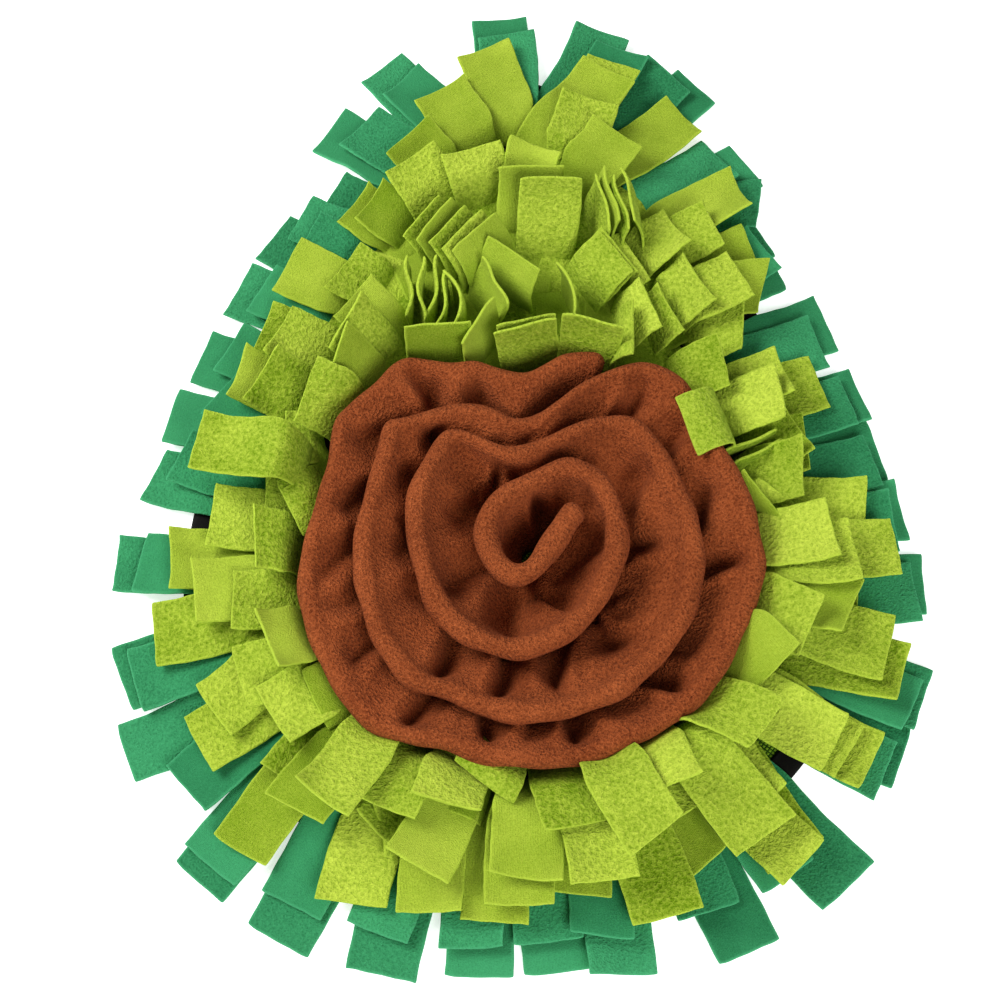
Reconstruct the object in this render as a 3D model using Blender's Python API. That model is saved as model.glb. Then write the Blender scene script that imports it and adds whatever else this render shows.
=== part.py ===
"""Snuffle mat in the shape of a halved fruit.

A woven base panel with a bound edge carries rows of fleece fringe. Each row is a narrow strip of
fleece slit into locks, sewn down by its strip, so the locks stand up and flop outwards over the
rows outside them. Two dark rows hang over the bound edge to the floor. Light rows fill the mat
and stand up behind a large rose, which is one doubled fleece band wound into a spiral.

Plan sizes are in millimetres, with +Y towards the narrow end, and turn into metres where a mesh
is made. Headings are degrees anticlockwise from +X.
"""
import math

import bmesh
import bpy
import numpy as np
from mathutils import Vector

MM = 0.001

# Base
HALF_WIDTH = 156.0          # the outline's sideways size before its egg taper
HALF_LENGTH = 223.0
EGG_TAPER = 0.40            # how much narrower the far end is than the near end
PANEL_THICK = 2.0
BINDING_WIDTH = 13.0
BINDING_THICK = 3.0
GAP = 0.35                  # air between pieces that touch
MIDDLE = (-0.606, -0.064)   # middle of the finished mat's bounding box, moved to the origin

# Fringe
FLEECE = 1.2
LOCK_WIDTH = 32.0
STRIP_WIDTH = 4.0
STRIP_BOTTOM = PANEL_THICK + GAP
STRIP_THICK = 1.5
ROOT_HEIGHT = STRIP_BOTTOM + 0.8
EDGE_CLEARANCE = 2.0
LOCK_STEPS = (0.0, 0.09, 0.38, 0.68, 1.0)

# Rose
ROSE_CENTRE = (6.0, -68.0)
ROSE_BEARING_STEP = 30
ROSE_START = 40.0           # bearing of the loose inner end
ROSE_TURNS = 3.92
ROSE_STEPS = 144
BAND_THICK = 5.0
CREST_INNER = 46.0
CREST_OUTER = 35.0
FIRST_LEAN = 5.0
TUCK = 3.0                  # how far each turn's foot lies under the crest of the turn inside it
PLEAT_PITCH = 26.0
PLEAT_DEPTH = 2.0

# Crest radius of each turn of the rose at a bearing, the turns counted from the centre outwards.
#   bearing: (turn 1, turn 2, turn 3, turn 4)
ROSE_RADIUS = {
    30: (26, 45, 81, 107),
    0: (21, 42, 78, 107),
    -30: (19, 42, 77, 107),
    -60: (19, 45, 78, 108),
    -90: (19, 51, 82, 105),
    -120: (19, 54, 85, 106),
    -150: (20, 54, 85, 109),
    -180: (22, 56, 83, 110),
    -210: (26, 62, 86, 115),
    -240: (29, 62, 83, 114),
    -270: (32, 61, 77, 101),
    -300: (38, 72, 99, 108),
}

# Where each lock's cut end lies, and the way it points, clockwise from the far end of the mat.
#   (x, y, heading)
DARK_LOWER = (
    (-10, 265, 95), (49, 256, 70), (101, 219, 40), (126, 168, 30), (131, 125, 25),
    (137, 104, 25), (163, 71, 20), (177, 28, 15), (184, -3, 15), (193, -36, 10),
    (201, -75, 5), (195, -135, -25), (183, -163, -15), (153, -224, -45), (105, -254, -70),
    (47, -264, -90), (17, -263, -85), (-19, -265, -90), (-64, -264, -95), (-112, -249, -115),
    (-150, -222, -125), (-189, -161, -165), (-194, -124, -155), (-201, -64, 170),
    (-186, -16, 155), (-180, 17, 165), (-166, 51, 160), (-149, 91, 155), (-132, 123, 155),
    (-117, 132, 150), (-101, 148, 145), (-104, 191, 150), (-76, 232, 135),
)
DARK_UPPER = (
    (-6, 253, 100), (59, 240, 65), (85, 225, 45), (111, 170, 45), (131, 142, -30),
    (131, 112, 40), (157, 58, 15), (170, 23, 20), (180, -11, 20), (187, -45, 10),
    (196, -80, 15), (189, -139, -30), (174, -170, -25), (125, -220, -60), (87, -236, -80),
    (37, -248, -100), (13, -250, -85), (-23, -253, -90), (-66, -246, -110), (-102, -235, -110),
    (-145, -215, -120), (-158, -179, -130), (-187, -126, -160), (-189, -65, 170),
    (-172, -8, 150), (-153, 28, 135), (-151, 54, 150), (-136, 88, 155), (-112, 118, 160),
    (-87, 190, 145), (-65, 221, 145),
)
LIGHT_OUTER = (
    (-19, 239, 115), (54, 229, 65), (92, 196, 40), (119, 143, 15), (124, 108, 20),
    (128, 84, -30), (155, 32, 15), (145, -5, 0), (172, -42, 0),
    (185, -62, 15), (165, -92, 5), (177, -114, -15), (184, -125, -25), (166, -168, -30),
    (128, -212, -55), (130, -216, -50), (83, -218, -45), (67, -240, -85), (26, -230, -100),
    (-1, -236, -90), (-12, -242, -100), (-42, -238, -90), (-78, -233, -90), (-131, -209, -115),
    (-153, -159, -145), (-178, -104, -175), (-172, -66, -175), (-165, -8, 160),
    (-144, 34, 160), (-133, 63, 160), (-122, 98, 160), (-88, 135, 150), (-60, 178, 125),
    (-43, 210, 120),
)
LIGHT_MIDDLE = (
    (51, 220, 60), (40, 198, 75), (103, 118, 15), (115, 85, 25), (116, 61, -20),
    (135, 32, 15), (140, 1, 35), (162, -68, 15), (159, -96, -30), (155, -164, -30),
    (110, -190, -50), (112, -205, -55), (81, -191, -70), (38, -226, -85), (2, -225, -100),
    (-47, -220, -125), (-65, -204, -145), (-104, -193, -105), (-109, -178, -130),
    (-133, -130, -160), (-146, -144, -145), (-158, -85, -175), (-153, -44, 175),
    (-131, 30, 145), (-124, 57, 160), (-79, 135, 150),
)
LIGHT_INNER = (
    (54, 175, 65), (83, 113, 20), (93, 82, 30),
    (131, 17, 5), (140, -23, -5), (151, -58, 15), (140, -103, -20), (128, -132, -50),
    (148, -161, -25), (114, -156, -45), (67, -185, -75), (61, -208, -50), (26, -202, -80),
    (-30, -210, -90), (-62, -194, -105), (-90, -192, -130),
    (-116, -150, -145), (-119, -115, -155), (-139, -90, 175),
    (-129, -60, -165), (-126, -36, -170),
    (-92, 96, 145),
)

# The rings, outermost first. Inset is how far the row lies inside the base's outline.
#   name: (inset, number of lengths, root width, height of the first bend, locks)
RINGS = {
    "dark_lower": (28.0, 6, 20.0, 6.0, DARK_LOWER),
    "dark_upper": (35.5, 6, 20.0, 7.0, DARK_UPPER),
    "light_outer": (42.5, 6, 16.0, 8.0, LIGHT_OUTER),
    "light_middle": (49.5, 6, 18.0, 9.0, LIGHT_MIDDLE),
    "light_inner": (56.5, 6, 18.0, 10.0, LIGHT_INNER),
}

# The crown: locks that stand up between the rose and the narrow end.
#   group: ((root x, root y, tip x, tip y, tip height, heading), ...)
CROWN = {
    "crown_top": (
        (-36, 127, -58, 157, 24, 125), (-15, 134, -25, 158, 30, 108), (8, 137, 12, 168, 28, 80),
    ),
    "crown_left_low": (
        (-60, 50, -85, 70, 30, 140), (-63, 37, -88, 54, 25, 150), (-69, 24, -92, 36, 22, 160),
        (-79, 9, -107, 18, 20, 160),
    ),
    "crown_right_low": (
        (64, 61, 78, 66, 24, 35), (50, 62, 68, 67, 28, 30), (46, 54, 58, 51, 32, 10),
    ),
    "crown_right_rim": ((74, 29, 104, 36, 26, 15),),
    "crown_right_high": ((50, 94, 66, 97, 28, 20), (33, 84, 51, 97, 34, 40)),
    "crown_left_fan": (
        (-39, 107, -50, 121, 30, 135), (-32, 104, -45, 117, 33, 140),
        (-26, 100, -38, 112, 36, 140), (-19, 96, -31, 108, 39, 135),
        (-12, 93, -23, 104, 42, 130),
    ),
    "crown_left_plates": (
        (-54, 79, -65, 80, 36, -155), (-48, 72, -57, 69, 39, -165),
        (-43, 68, -51, 66, 40, -165), (-38, 67, -46, 64, 40, -165),
    ),
    "crown_right_plates": (
        (26, 121, 44, 130, 40, 10), (33, 118, 50, 131, 41, 10), (40, 115, 57, 129, 42, 10),
    ),
    "crown_back": ((2, 122, 7, 145, 40, 95), (12, 107, 17, 132, 48, 90)),
    "crown_middle": ((-4, 81, 3, 93, 42, 55), (-20, 67, -31, 68, 38, -175)),
    "crown_front": (
        (-41, 40, -42, 49, 42, 95), (-10, 54, -21, 58, 43, 150),
        (7, 50, 4, 60, 44, 105), (31, 46, 37, 57, 44, 75),
    ),
}
CROWN_ROOT_WIDTH = 16.0
STANDING_CURVE = (0.0, 0.42, 0.76, 0.93, 1.0)
STANDING_STEPS = (0.0, 0.28, 0.6, 0.84, 1.0)

# The one lock that climbs past the rose's rim and folds back over it, as (x, y, z) steps.
RIM_LOCK = ((92, -9, 0), (97, -5, 16), (101, -2, 36), (95, -3, 42), (80, -7, 42))
RIM_LOCK_HEADING = 20.0


# ---------------------------------------------------------------- the cloth's heights so far
class Pile:
    """The height of all cloth laid so far, on a 1 mm grid over the mat."""

    def __init__(self):
        self.x0 = -230
        self.y0 = -300
        self.top = np.zeros((460, 600))

    def cells(self, x, y):
        ix = np.clip(np.rint(x).astype(int) - self.x0, 1, self.top.shape[0] - 2)
        iy = np.clip(np.rint(y).astype(int) - self.y0, 1, self.top.shape[1] - 2)
        return ix, iy

    def lay(self, x, y, z):
        ix, iy = self.cells(x, y)
        np.maximum.at(self.top, (ix, iy), z)

    def under(self, x, y):
        return self.top[self.cells(x, y)]


# ---------------------------------------------------------------- outlines
def egg(angle, inset=0.0):
    """A point of the base's outline, or of the like curve that lies inset within it."""
    x = (HALF_WIDTH - inset) * math.cos(angle) * (1.0 - EGG_TAPER * math.sin(angle))
    y = (HALF_LENGTH - inset) * math.sin(angle)
    return np.array((x, y))


def egg_loop(inset, count):
    """The outline's points, clockwise from the narrow end, evenly spaced along it."""
    fine = np.array([egg(math.pi / 2 - math.tau * i / 1440, inset) for i in range(1441)])
    steps = np.linalg.norm(np.diff(fine, axis=0), axis=1)
    along = np.concatenate(([0.0], np.cumsum(steps)))
    wanted = np.linspace(0.0, along[-1], count + 1)[:-1]
    loop = np.column_stack([np.interp(wanted, along, fine[:, k]) for k in (0, 1)])
    return loop, along[-1]


def unit(vector):
    return vector / max(float(np.linalg.norm(vector)), 1e-9)


# ---------------------------------------------------------------- making objects
def make_material(name, colour, roughness):
    material = bpy.data.materials.new(name)
    material.use_nodes = True
    shader = material.node_tree.nodes["Principled BSDF"]
    shader.inputs["Base Color"].default_value = (*colour, 1.0)
    shader.inputs["Roughness"].default_value = roughness
    shader.inputs["Metallic"].default_value = 0.0
    return material


def make_object(name, points, faces, material):
    """A mesh object from points in millimetres, its faces turned outwards."""
    mesh = bpy.data.meshes.new(name)
    placed = [((x - MIDDLE[0]) * MM, (y - MIDDLE[1]) * MM, z * MM) for x, y, z in points]
    mesh.from_pydata(placed, [], faces)
    shape = bmesh.new()
    shape.from_mesh(mesh)
    bmesh.ops.recalc_face_normals(shape, faces=shape.faces)
    shape.to_mesh(mesh)
    shape.free()
    mesh.materials.append(material)
    made = bpy.data.objects.new(name, mesh)
    bpy.context.collection.objects.link(made)
    return made


def sweep_faces(rings, sides, closed, first=0):
    """Quads that join rings of points, with end caps where the sweep is open."""
    faces = []
    spans = rings if closed else rings - 1
    for i in range(spans):
        a = first + i * sides
        b = first + ((i + 1) % rings) * sides
        for k in range(sides):
            m = (k + 1) % sides
            faces.append((a + k, a + m, b + m, b + k))
    if not closed:
        faces.append(tuple(first + k for k in range(sides)))
        faces.append(tuple(first + (rings - 1) * sides + k for k in reversed(range(sides))))
    return faces


def join_by_union(base, added):
    """Fuse the locks to their strip and leave one body."""
    union = base.modifiers.new("roots", "BOOLEAN")
    union.operation = "UNION"
    union.object = added
    union.solver = "EXACT"
    union.use_self = True
    depsgraph = bpy.context.evaluated_depsgraph_get()
    fused = bpy.data.meshes.new_from_object(base.evaluated_get(depsgraph))
    base.modifiers.clear()
    base.data = fused
    bpy.data.objects.remove(added)


# ---------------------------------------------------------------- base
def lay_base(pile):
    """The mat's base is the floor of everything sewn to it."""
    grid_x, grid_y = np.meshgrid(np.arange(-185, 186), np.arange(-230, 231))
    reach = HALF_LENGTH + EDGE_CLEARANCE
    sine = np.clip(grid_y / reach, -1.0, 1.0)
    half = (HALF_WIDTH + EDGE_CLEARANCE) * np.sqrt(1.0 - sine ** 2) * (1.0 - EGG_TAPER * sine)
    inside = (np.abs(grid_x) <= half) & (np.abs(grid_y) <= reach)
    height = BINDING_THICK + EDGE_CLEARANCE - GAP
    pile.lay(grid_x[inside], grid_y[inside], height)


def make_base(panel_material, binding_material):
    count = 48
    edge, _ = egg_loop(0.0, count)
    along = np.roll(edge, -1, axis=0) - np.roll(edge, 1, axis=0)
    normal = np.column_stack((-along[:, 1], along[:, 0]))
    normal /= np.linalg.norm(normal, axis=1)[:, None]
    inner = edge - normal * BINDING_WIDTH
    panel_edge = inner - normal * GAP
    points = []
    for p in panel_edge:
        points.append((p[0], p[1], 0.0))
        points.append((p[0], p[1], PANEL_THICK))
    faces = [(2 * i, 2 * ((i + 1) % count), 2 * ((i + 1) % count) + 1, 2 * i + 1)
             for i in range(count)]
    faces.append(tuple(2 * i for i in reversed(range(count))))
    faces.append(tuple(2 * i + 1 for i in range(count)))
    make_object("base_panel", points, faces, panel_material)
    ring = []
    for a, b in zip(inner, edge):
        round_in = b + (a - b) * 0.1
        ring += [(a[0], a[1], 0.0), (b[0], b[1], 0.0), (b[0], b[1], BINDING_THICK * 0.6),
                 (round_in[0], round_in[1], BINDING_THICK), (a[0], a[1], BINDING_THICK)]
    make_object("binding", ring, sweep_faces(count, 5, True), binding_material)


# ---------------------------------------------------------------- locks
class Lock:
    """One fleece lock: a ribbon along a plan path, each step with a height at either edge."""

    def __init__(self, root, along_strip, tip, heading, root_width, heights, steps):
        self.root = np.array(root, float)
        self.tip = np.array(tip, float)
        steps = np.array(steps)
        self.count = len(steps)
        self.heights = np.repeat(np.array(heights, float), 2)
        reach = float(np.linalg.norm(self.tip - self.root))
        end = np.array((math.cos(math.radians(heading)), math.sin(math.radians(heading))))
        start = unit(self.tip - self.root)
        middle = (self.root + start * reach * 0.5 + self.tip - end * reach * 0.5) * 0.5
        t = steps[:, None]
        path = (1 - t) ** 2 * self.root + 2 * t * (1 - t) * middle + t ** 2 * self.tip
        across_end = np.array((-end[1], end[0]))
        across_root = unit(np.array(along_strip, float))
        if across_root @ across_end < 0:
            across_root = -across_root
        open_out = np.clip((steps - 0.1) / 0.3, 0.0, 1.0)
        blend = open_out[:, None]
        across = across_root * (1 - blend) + across_end * blend
        run = 2 * (1 - t) * (middle - self.root) + 2 * t * (self.tip - middle)
        run /= np.linalg.norm(run, axis=1)[:, None]
        squaring = np.where(steps > 0.0, 0.8, 0.3)[:, None]
        across -= squaring * (across * run).sum(axis=1)[:, None] * run
        across /= np.linalg.norm(across, axis=1)[:, None]
        side = across * (root_width + (LOCK_WIDTH - root_width) * blend) / 2
        self.edges = np.stack((path - side, path + side), axis=1).reshape(-1, 2)

    def weights(self, spacing, first):
        """Shares of the edge points at places spread over the ribbon's triangles."""
        rows = []
        for i in range(first, self.count - 1):
            run = np.linalg.norm(self.edges[2 * i + 2] - self.edges[2 * i]) + 1.0
            rise = abs(self.heights[2 * i + 2] - self.heights[2 * i])
            v_count = max(3, int(math.hypot(run, min(rise, 50.0)) / spacing))
            s_count = int(LOCK_WIDTH / spacing)
            s, v = np.meshgrid(np.linspace(0, 1, s_count), np.linspace(0, 1, v_count))
            s = s.ravel()
            v = v.ravel()
            row = np.zeros((len(s), 2 * self.count))
            right = s >= v
            row[:, 2 * i] = np.where(right, 1 - s, 1 - v)
            row[:, 2 * i + 1] = np.where(right, s - v, 0.0)
            row[:, 2 * i + 2] = np.where(right, 0.0, v - s)
            row[:, 2 * i + 3] = np.where(right, v, s)
            rows.append(row)
        return np.concatenate(rows)

    def half_thickness(self, share):
        """Upright half thickness of the ribbon at each place, by the slope of its segment."""
        rise = np.zeros(self.count - 1)
        for i in range(self.count - 1):
            run = self.edges[2 * i + 2:2 * i + 4].mean(axis=0) - self.edges[2 * i:2 * i + 2].mean(axis=0)
            up = self.heights[2 * i + 2:2 * i + 4].mean() - self.heights[2 * i:2 * i + 2].mean()
            rise[i] = abs(up) / max(float(np.linalg.norm(run)), 1.0)
        rise = np.minimum(rise, 3.0)
        at_step = np.maximum(np.concatenate((rise, rise[-1:])), np.concatenate((rise[:1], rise)))
        slope = share @ np.repeat(at_step, 2)
        return FLEECE / 2 * np.sqrt(1 + slope ** 2) + 0.25 * slope

    def settle(self, pile, first=1):
        """Raise the edge points by the least that clears all the cloth lying under them."""
        share = self.weights(1.2, first)
        place = share @ self.edges
        floor = pile.under(place[:, 0], place[:, 1])
        floor = np.where(floor > 0.0, floor + GAP, 0.0)
        share[:, :2 * first] = 0.0
        size = np.maximum((share ** 2).sum(axis=1), 0.05)
        for _ in range(8):
            need = floor + self.half_thickness(share)
            for _ in range(60):
                short = need - share @ self.heights
                worst = int(short.argmax())
                if short[worst] < 0.02:
                    break
                self.heights += share[worst] * short[worst] / size[worst]
        self.heights[self.heights < FLEECE / 2 + 0.06] = FLEECE / 2

    def keep_rising(self):
        """A standing lock climbs all the way to its cut end."""
        for k in range(4, 2 * self.count):
            self.heights[k] = max(self.heights[k], self.heights[k - 2] + 1.5)

    def lie_in(self, pile):
        share = self.weights(0.7, 0)
        place = share @ self.edges
        height = share @ self.heights + self.half_thickness(share)
        for k in ((0.0, 0.0), (0.6, 0.0), (-0.6, 0.0), (0.0, 0.6), (0.0, -0.6)):
            pile.lay(place[:, 0] + k[0], place[:, 1] + k[1], height)

    def mesh(self, first):
        """Four points at each step, and the triangles that join them."""
        points = []
        edge = np.column_stack((self.edges, self.heights))
        centre = (edge[0::2] + edge[1::2]) / 2
        for i in range(self.count):
            tangent = unit(centre[min(i + 1, self.count - 1)] - centre[max(i - 1, 0)])
            face = unit(np.cross(edge[2 * i + 1] - edge[2 * i], tangent)) * FLEECE / 2
            if max(self.heights[2 * i:2 * i + 2]) < FLEECE / 2 + 0.02:
                face = np.array((0.0, 0.0, math.copysign(FLEECE / 2, face[2])))
            left, right = edge[2 * i], edge[2 * i + 1]
            points += [left - face, right - face, right + face, left + face]
        faces = [(first, first + 1, first + 2, first + 3)]
        for i in range(self.count - 1):
            a = first + 4 * i
            b = a + 4
            faces += [(a, b + 1, a + 1), (a, b, b + 1), (a + 3, a + 2, b + 2), (a + 3, b + 2, b + 3)]
            faces += [(a + 1, b + 1, b + 2, a + 2), (a, a + 3, b + 3, b)]
        last = first + 4 * (self.count - 1)
        faces.append((last + 3, last + 2, last + 1, last))
        return points, faces


def make_row(name, strip_path, locks, material):
    """A length of fringe: a narrow strip with its locks' roots fused into it."""
    path = np.array(strip_path, float)
    points = []
    for i in range(len(path)):
        tangent = unit(path[min(i + 1, len(path) - 1)] - path[max(i - 1, 0)])
        side = np.array((-tangent[1], tangent[0])) * STRIP_WIDTH / 2
        for offset, z in ((-side, 0.0), (side, 0.0), (side, STRIP_THICK), (-side, STRIP_THICK)):
            points.append((*(path[i] + offset), STRIP_BOTTOM + z))
    strip = make_object(name, points, sweep_faces(len(path), 4, False), material)
    lock_points = []
    lock_faces = []
    for lock in locks:
        found, faces = lock.mesh(len(lock_points))
        lock_points += found
        lock_faces += faces
    helper = make_object(name + "_locks", lock_points, lock_faces, material)
    join_by_union(strip, helper)
    return strip


def spread_roots(wanted, length, least):
    """Push neighbouring roots apart along a closed row until each has room."""
    places = np.sort(np.array(wanted, float))
    count = len(places)
    for _ in range(400):
        for i in range(count):
            j = (i + 1) % count
            gap = (places[j] - places[i]) % length
            if gap > length / 2:
                gap -= length
            if gap < least:
                push = (least - gap) / 2
                places[i] -= push
                places[j] += push
    return places


def ring_roots(inset, locks, root_width):
    """Where each lock of a ring is rooted: behind its tip, and facing it squarely."""
    loop, length = egg_loop(inset, 720)
    step = length / len(loop)
    tangent = np.roll(loop, -3, axis=0) - np.roll(loop, 3, axis=0)
    tangent /= np.linalg.norm(tangent, axis=1)[:, None]
    outward = np.column_stack((-tangent[:, 1], tangent[:, 0]))
    wanted = []
    for x, y, heading in locks:
        end = np.array((math.cos(math.radians(heading)), math.sin(math.radians(heading))))
        run = np.array((x, y), float) - loop
        reach = np.linalg.norm(run, axis=1)
        run /= reach[:, None]
        cost = ((reach - 60.0) / 40.0) ** 2 + 4.0 * (1.0 - (run * outward).sum(axis=1))
        cost += 1.0 * (1.0 - run @ end)
        wanted.append(float(np.argmin(cost)) * step)
    for i in range(1, len(wanted)):
        while wanted[i] < wanted[i - 1] - length / 2:
            wanted[i] += length
        wanted[i] = max(wanted[i], wanted[i - 1] + 1.0)
    places = spread_roots(wanted, length, min(root_width + 3.4, length / len(locks)))
    return loop, length, places


def strip_path(loop, step, first, last):
    """Points along a row's strip, closer together where the row bends more."""
    path = [loop[int(round(first / step)) % len(loop)]]
    heading = None
    for place in np.arange(first + 2.0, last, 2.0):
        here = loop[int(round(place / step)) % len(loop)]
        run = here - path[-1]
        towards = math.atan2(run[1], run[0])
        if heading is None:
            heading = towards
        turned = abs((towards - heading + math.pi) % math.tau - math.pi)
        if turned > 0.09 or np.linalg.norm(run) > 40.0:
            path.append(here)
            heading = None
    end = loop[int(round(last / step)) % len(loop)]
    if np.linalg.norm(end - path[-1]) < 6.0:
        path.pop()
    return path + [end]


def make_ring(name, pile, material, on_floor):
    inset, lengths, root_width, bend, locks = RINGS[name]
    loop, length, places = ring_roots(inset, locks, root_width)
    step = length / len(loop)
    made = []
    ordered = list(zip(locks, places))
    for (x, y, heading), place in ordered[::2] + ordered[1::2]:
        index = int(round(place / step)) % len(loop)
        root = loop[index]
        along = unit(loop[(index + 3) % len(loop)] - loop[index - 3])
        rest = FLEECE / 2 if on_floor else 3.0
        heights = (ROOT_HEIGHT, bend, bend * 0.75, rest, rest)
        lock = Lock(root, along, (x, y), heading, root_width, heights, LOCK_STEPS)
        lock.settle(pile)
        lock.lie_in(pile)
        made.append((place, lock))
    made.sort(key=lambda item: item[0])
    per_length = len(made) / lengths
    for k in range(lengths):
        chosen = made[round(k * per_length):round((k + 1) * per_length)]
        first = chosen[0][0] - root_width / 2 - 1.0
        last = chosen[-1][0] + root_width / 2 + 1.0
        path = strip_path(loop, step, first, last)
        make_row(f"fringe_{name}_{k + 1}", path, [lock for _, lock in chosen], material)


def make_group(name, entries, pile, material):
    """A short row of standing locks on a strip through their roots."""
    roots = [np.array(entry[:2], float) for entry in entries]
    locks = []
    for root, entry in zip(roots, entries):
        _, _, x, y, top, heading = entry
        across = math.radians(heading + 90)
        heights = [ROOT_HEIGHT + (top - ROOT_HEIGHT) * f for f in STANDING_CURVE]
        lock = Lock(root, (math.cos(across), math.sin(across)), (x, y), heading,
                    CROWN_ROOT_WIDTH, heights, STANDING_STEPS)
        lock.settle(pile)
        lock.keep_rising()
        lock.lie_in(pile)
        locks.append(lock)
    path = list(roots)
    if len(path) == 1:
        across = math.radians(entries[0][5] + 90)
        side = np.array((math.cos(across), math.sin(across))) * CROWN_ROOT_WIDTH / 2
        path = [roots[0] - side, roots[0] + side]
    ends = (unit(path[0] - path[1]), unit(path[-1] - path[-2]))
    path = [path[0] + ends[0] * 4.0] + path + [path[-1] + ends[1] * 4.0]
    make_row("fringe_" + name, path, locks, material)


def make_rim_lock(pile, material):
    """The lock that folds back over the rose's rim, its crosswise edges all parallel."""
    x, y, z = (np.array(column, float) for column in zip(*RIM_LOCK))
    z[0] = ROOT_HEIGHT
    across = math.radians(RIM_LOCK_HEADING + 90)
    side = np.array((math.cos(across), math.sin(across)))
    lock = Lock((x[0], y[0]), side, (x[-1], y[-1]), RIM_LOCK_HEADING, 12.0, z, LOCK_STEPS)
    half = np.array((6.0, 10.0, 13.0, 14.0, 14.0))[:, None] * side
    middle = np.column_stack((x, y))
    lock.edges = np.stack((middle - half, middle + half), axis=1).reshape(-1, 2)
    lock.settle(pile, 2)
    strip = [middle[0] - side * 8.0, middle[0] + side * 8.0]
    make_row("fringe_rim_lock", strip, [lock], material)


# ---------------------------------------------------------------- rose
def rose_radius(bearing):
    """Crest radius along the winding, bearing falling from the inner end outwards."""
    turned = 30.0 - bearing
    row = turned / ROSE_BEARING_STEP
    bearings = list(ROSE_RADIUS)
    flat = [ROSE_RADIUS[b][turn] for turn in range(4) for b in bearings]
    flat = [flat[0] + 1] + flat + [flat[-1] + 2]
    low = int(math.floor(row))
    share = row - low
    a, b, c, d = (flat[min(max(low + k, 0), len(flat) - 1)] for k in (0, 1, 2, 3))
    return 0.5 * (2 * b + (c - a) * share + (2 * a - 5 * b + 4 * c - d) * share ** 2
                  + (3 * b - a - 3 * c + d) * share ** 3)


def rose_section(step, along):
    """The band's section at one step: eight points, from the outer foot over the crest."""
    share = step / ROSE_STEPS
    bearing = ROSE_START - 360.0 * ROSE_TURNS * share
    radius = rose_radius(min(bearing, 30.0)) + max(0.0, bearing - 30.0) * 0.05
    crest = CREST_INNER + (CREST_OUTER - CREST_INNER) * share ** 1.5
    inside = rose_radius(min(bearing + 360.0, 30.0))
    lean = radius - inside + TUCK if bearing < -320.0 else 0.0
    lean = max(lean, FIRST_LEAN + 15.0 * min(1.0, (ROSE_START - bearing) / 360.0))
    pleat = math.sin(math.tau * along / PLEAT_PITCH)
    foot = radius - lean - PLEAT_DEPTH * pleat
    mid = radius - lean * 0.42 - PLEAT_DEPTH * 0.8 * pleat
    crest += 1.2 * math.sin(math.tau * along / 61.0)
    half = BAND_THICK / 2
    profile = (
        (foot + half, STRIP_BOTTOM), (mid + half, crest * 0.5),
        (radius + half + 0.6, crest * 0.88), (radius + half * 0.4, crest),
        (radius - half * 0.6, crest - 0.4), (radius - half - 0.6, crest * 0.88),
        (mid - half, crest * 0.5), (foot - half, STRIP_BOTTOM),
    )
    turn = math.radians(bearing)
    direction = (math.cos(turn), math.sin(turn))
    return [(ROSE_CENTRE[0] + r * direction[0], ROSE_CENTRE[1] + r * direction[1], z)
            for r, z in profile], radius


def make_rose(pile, material):
    points = []
    along = 0.0
    sections = []
    for step in range(ROSE_STEPS + 1):
        section, radius = rose_section(step, along)
        sections.append(section)
        along += radius * math.radians(360.0 * ROSE_TURNS / ROSE_STEPS)
    for section in sections:
        points += section
    make_object("rose", points, sweep_faces(len(sections), 8, False), material)
    for a, b in zip(sections, sections[1:]):
        for k in range(7):
            for s in np.linspace(0.0, 1.0, 8):
                left = np.array(a[k]) * (1 - s) + np.array(b[k]) * s
                right = np.array(a[k + 1]) * (1 - s) + np.array(b[k + 1]) * s
                t = np.linspace(0.0, 1.0, 24)[:, None]
                line = left * (1 - t) + right * t
                pile.lay(line[:, 0], line[:, 1], line[:, 2])


# ---------------------------------------------------------------- the mat
def make_mat():
    dark = make_material("dark_fleece", (0.028, 0.262, 0.098), 0.95)
    light = make_material("light_fleece", (0.376, 0.545, 0.036), 0.95)
    brown = make_material("brown_fleece", (0.283, 0.065, 0.019), 0.95)
    black = make_material("black_binding", (0.004, 0.003, 0.003), 0.9)
    woven = make_material("woven_panel", (0.188, 0.366, 0.013), 0.85)
    pile = Pile()
    lay_base(pile)
    make_base(woven, black)
    make_ring("dark_lower", pile, dark, True)
    make_ring("dark_upper", pile, dark, True)
    make_ring("light_outer", pile, light, False)
    make_ring("light_middle", pile, light, False)
    make_ring("light_inner", pile, light, False)
    for name, entries in CROWN.items():
        make_group(name, entries, pile, light)
    make_rose(pile, brown)
    make_rim_lock(pile, light)


for old in list(bpy.data.objects):
    bpy.data.objects.remove(old)
make_mat()
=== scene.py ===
"""Snuffle mat: a woven base with a taped edge, rows of fleece locks and a wound fleece rose.

Plan sizes are in millimetres with +Y towards the narrow end, and become metres where a mesh is
made. The sections follow the mat as it is sewn: base, binding, root tapes, dark locks, light
locks, standing crown, rose, the lock over the rose's rim, and the stage round it.
"""
import math

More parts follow.
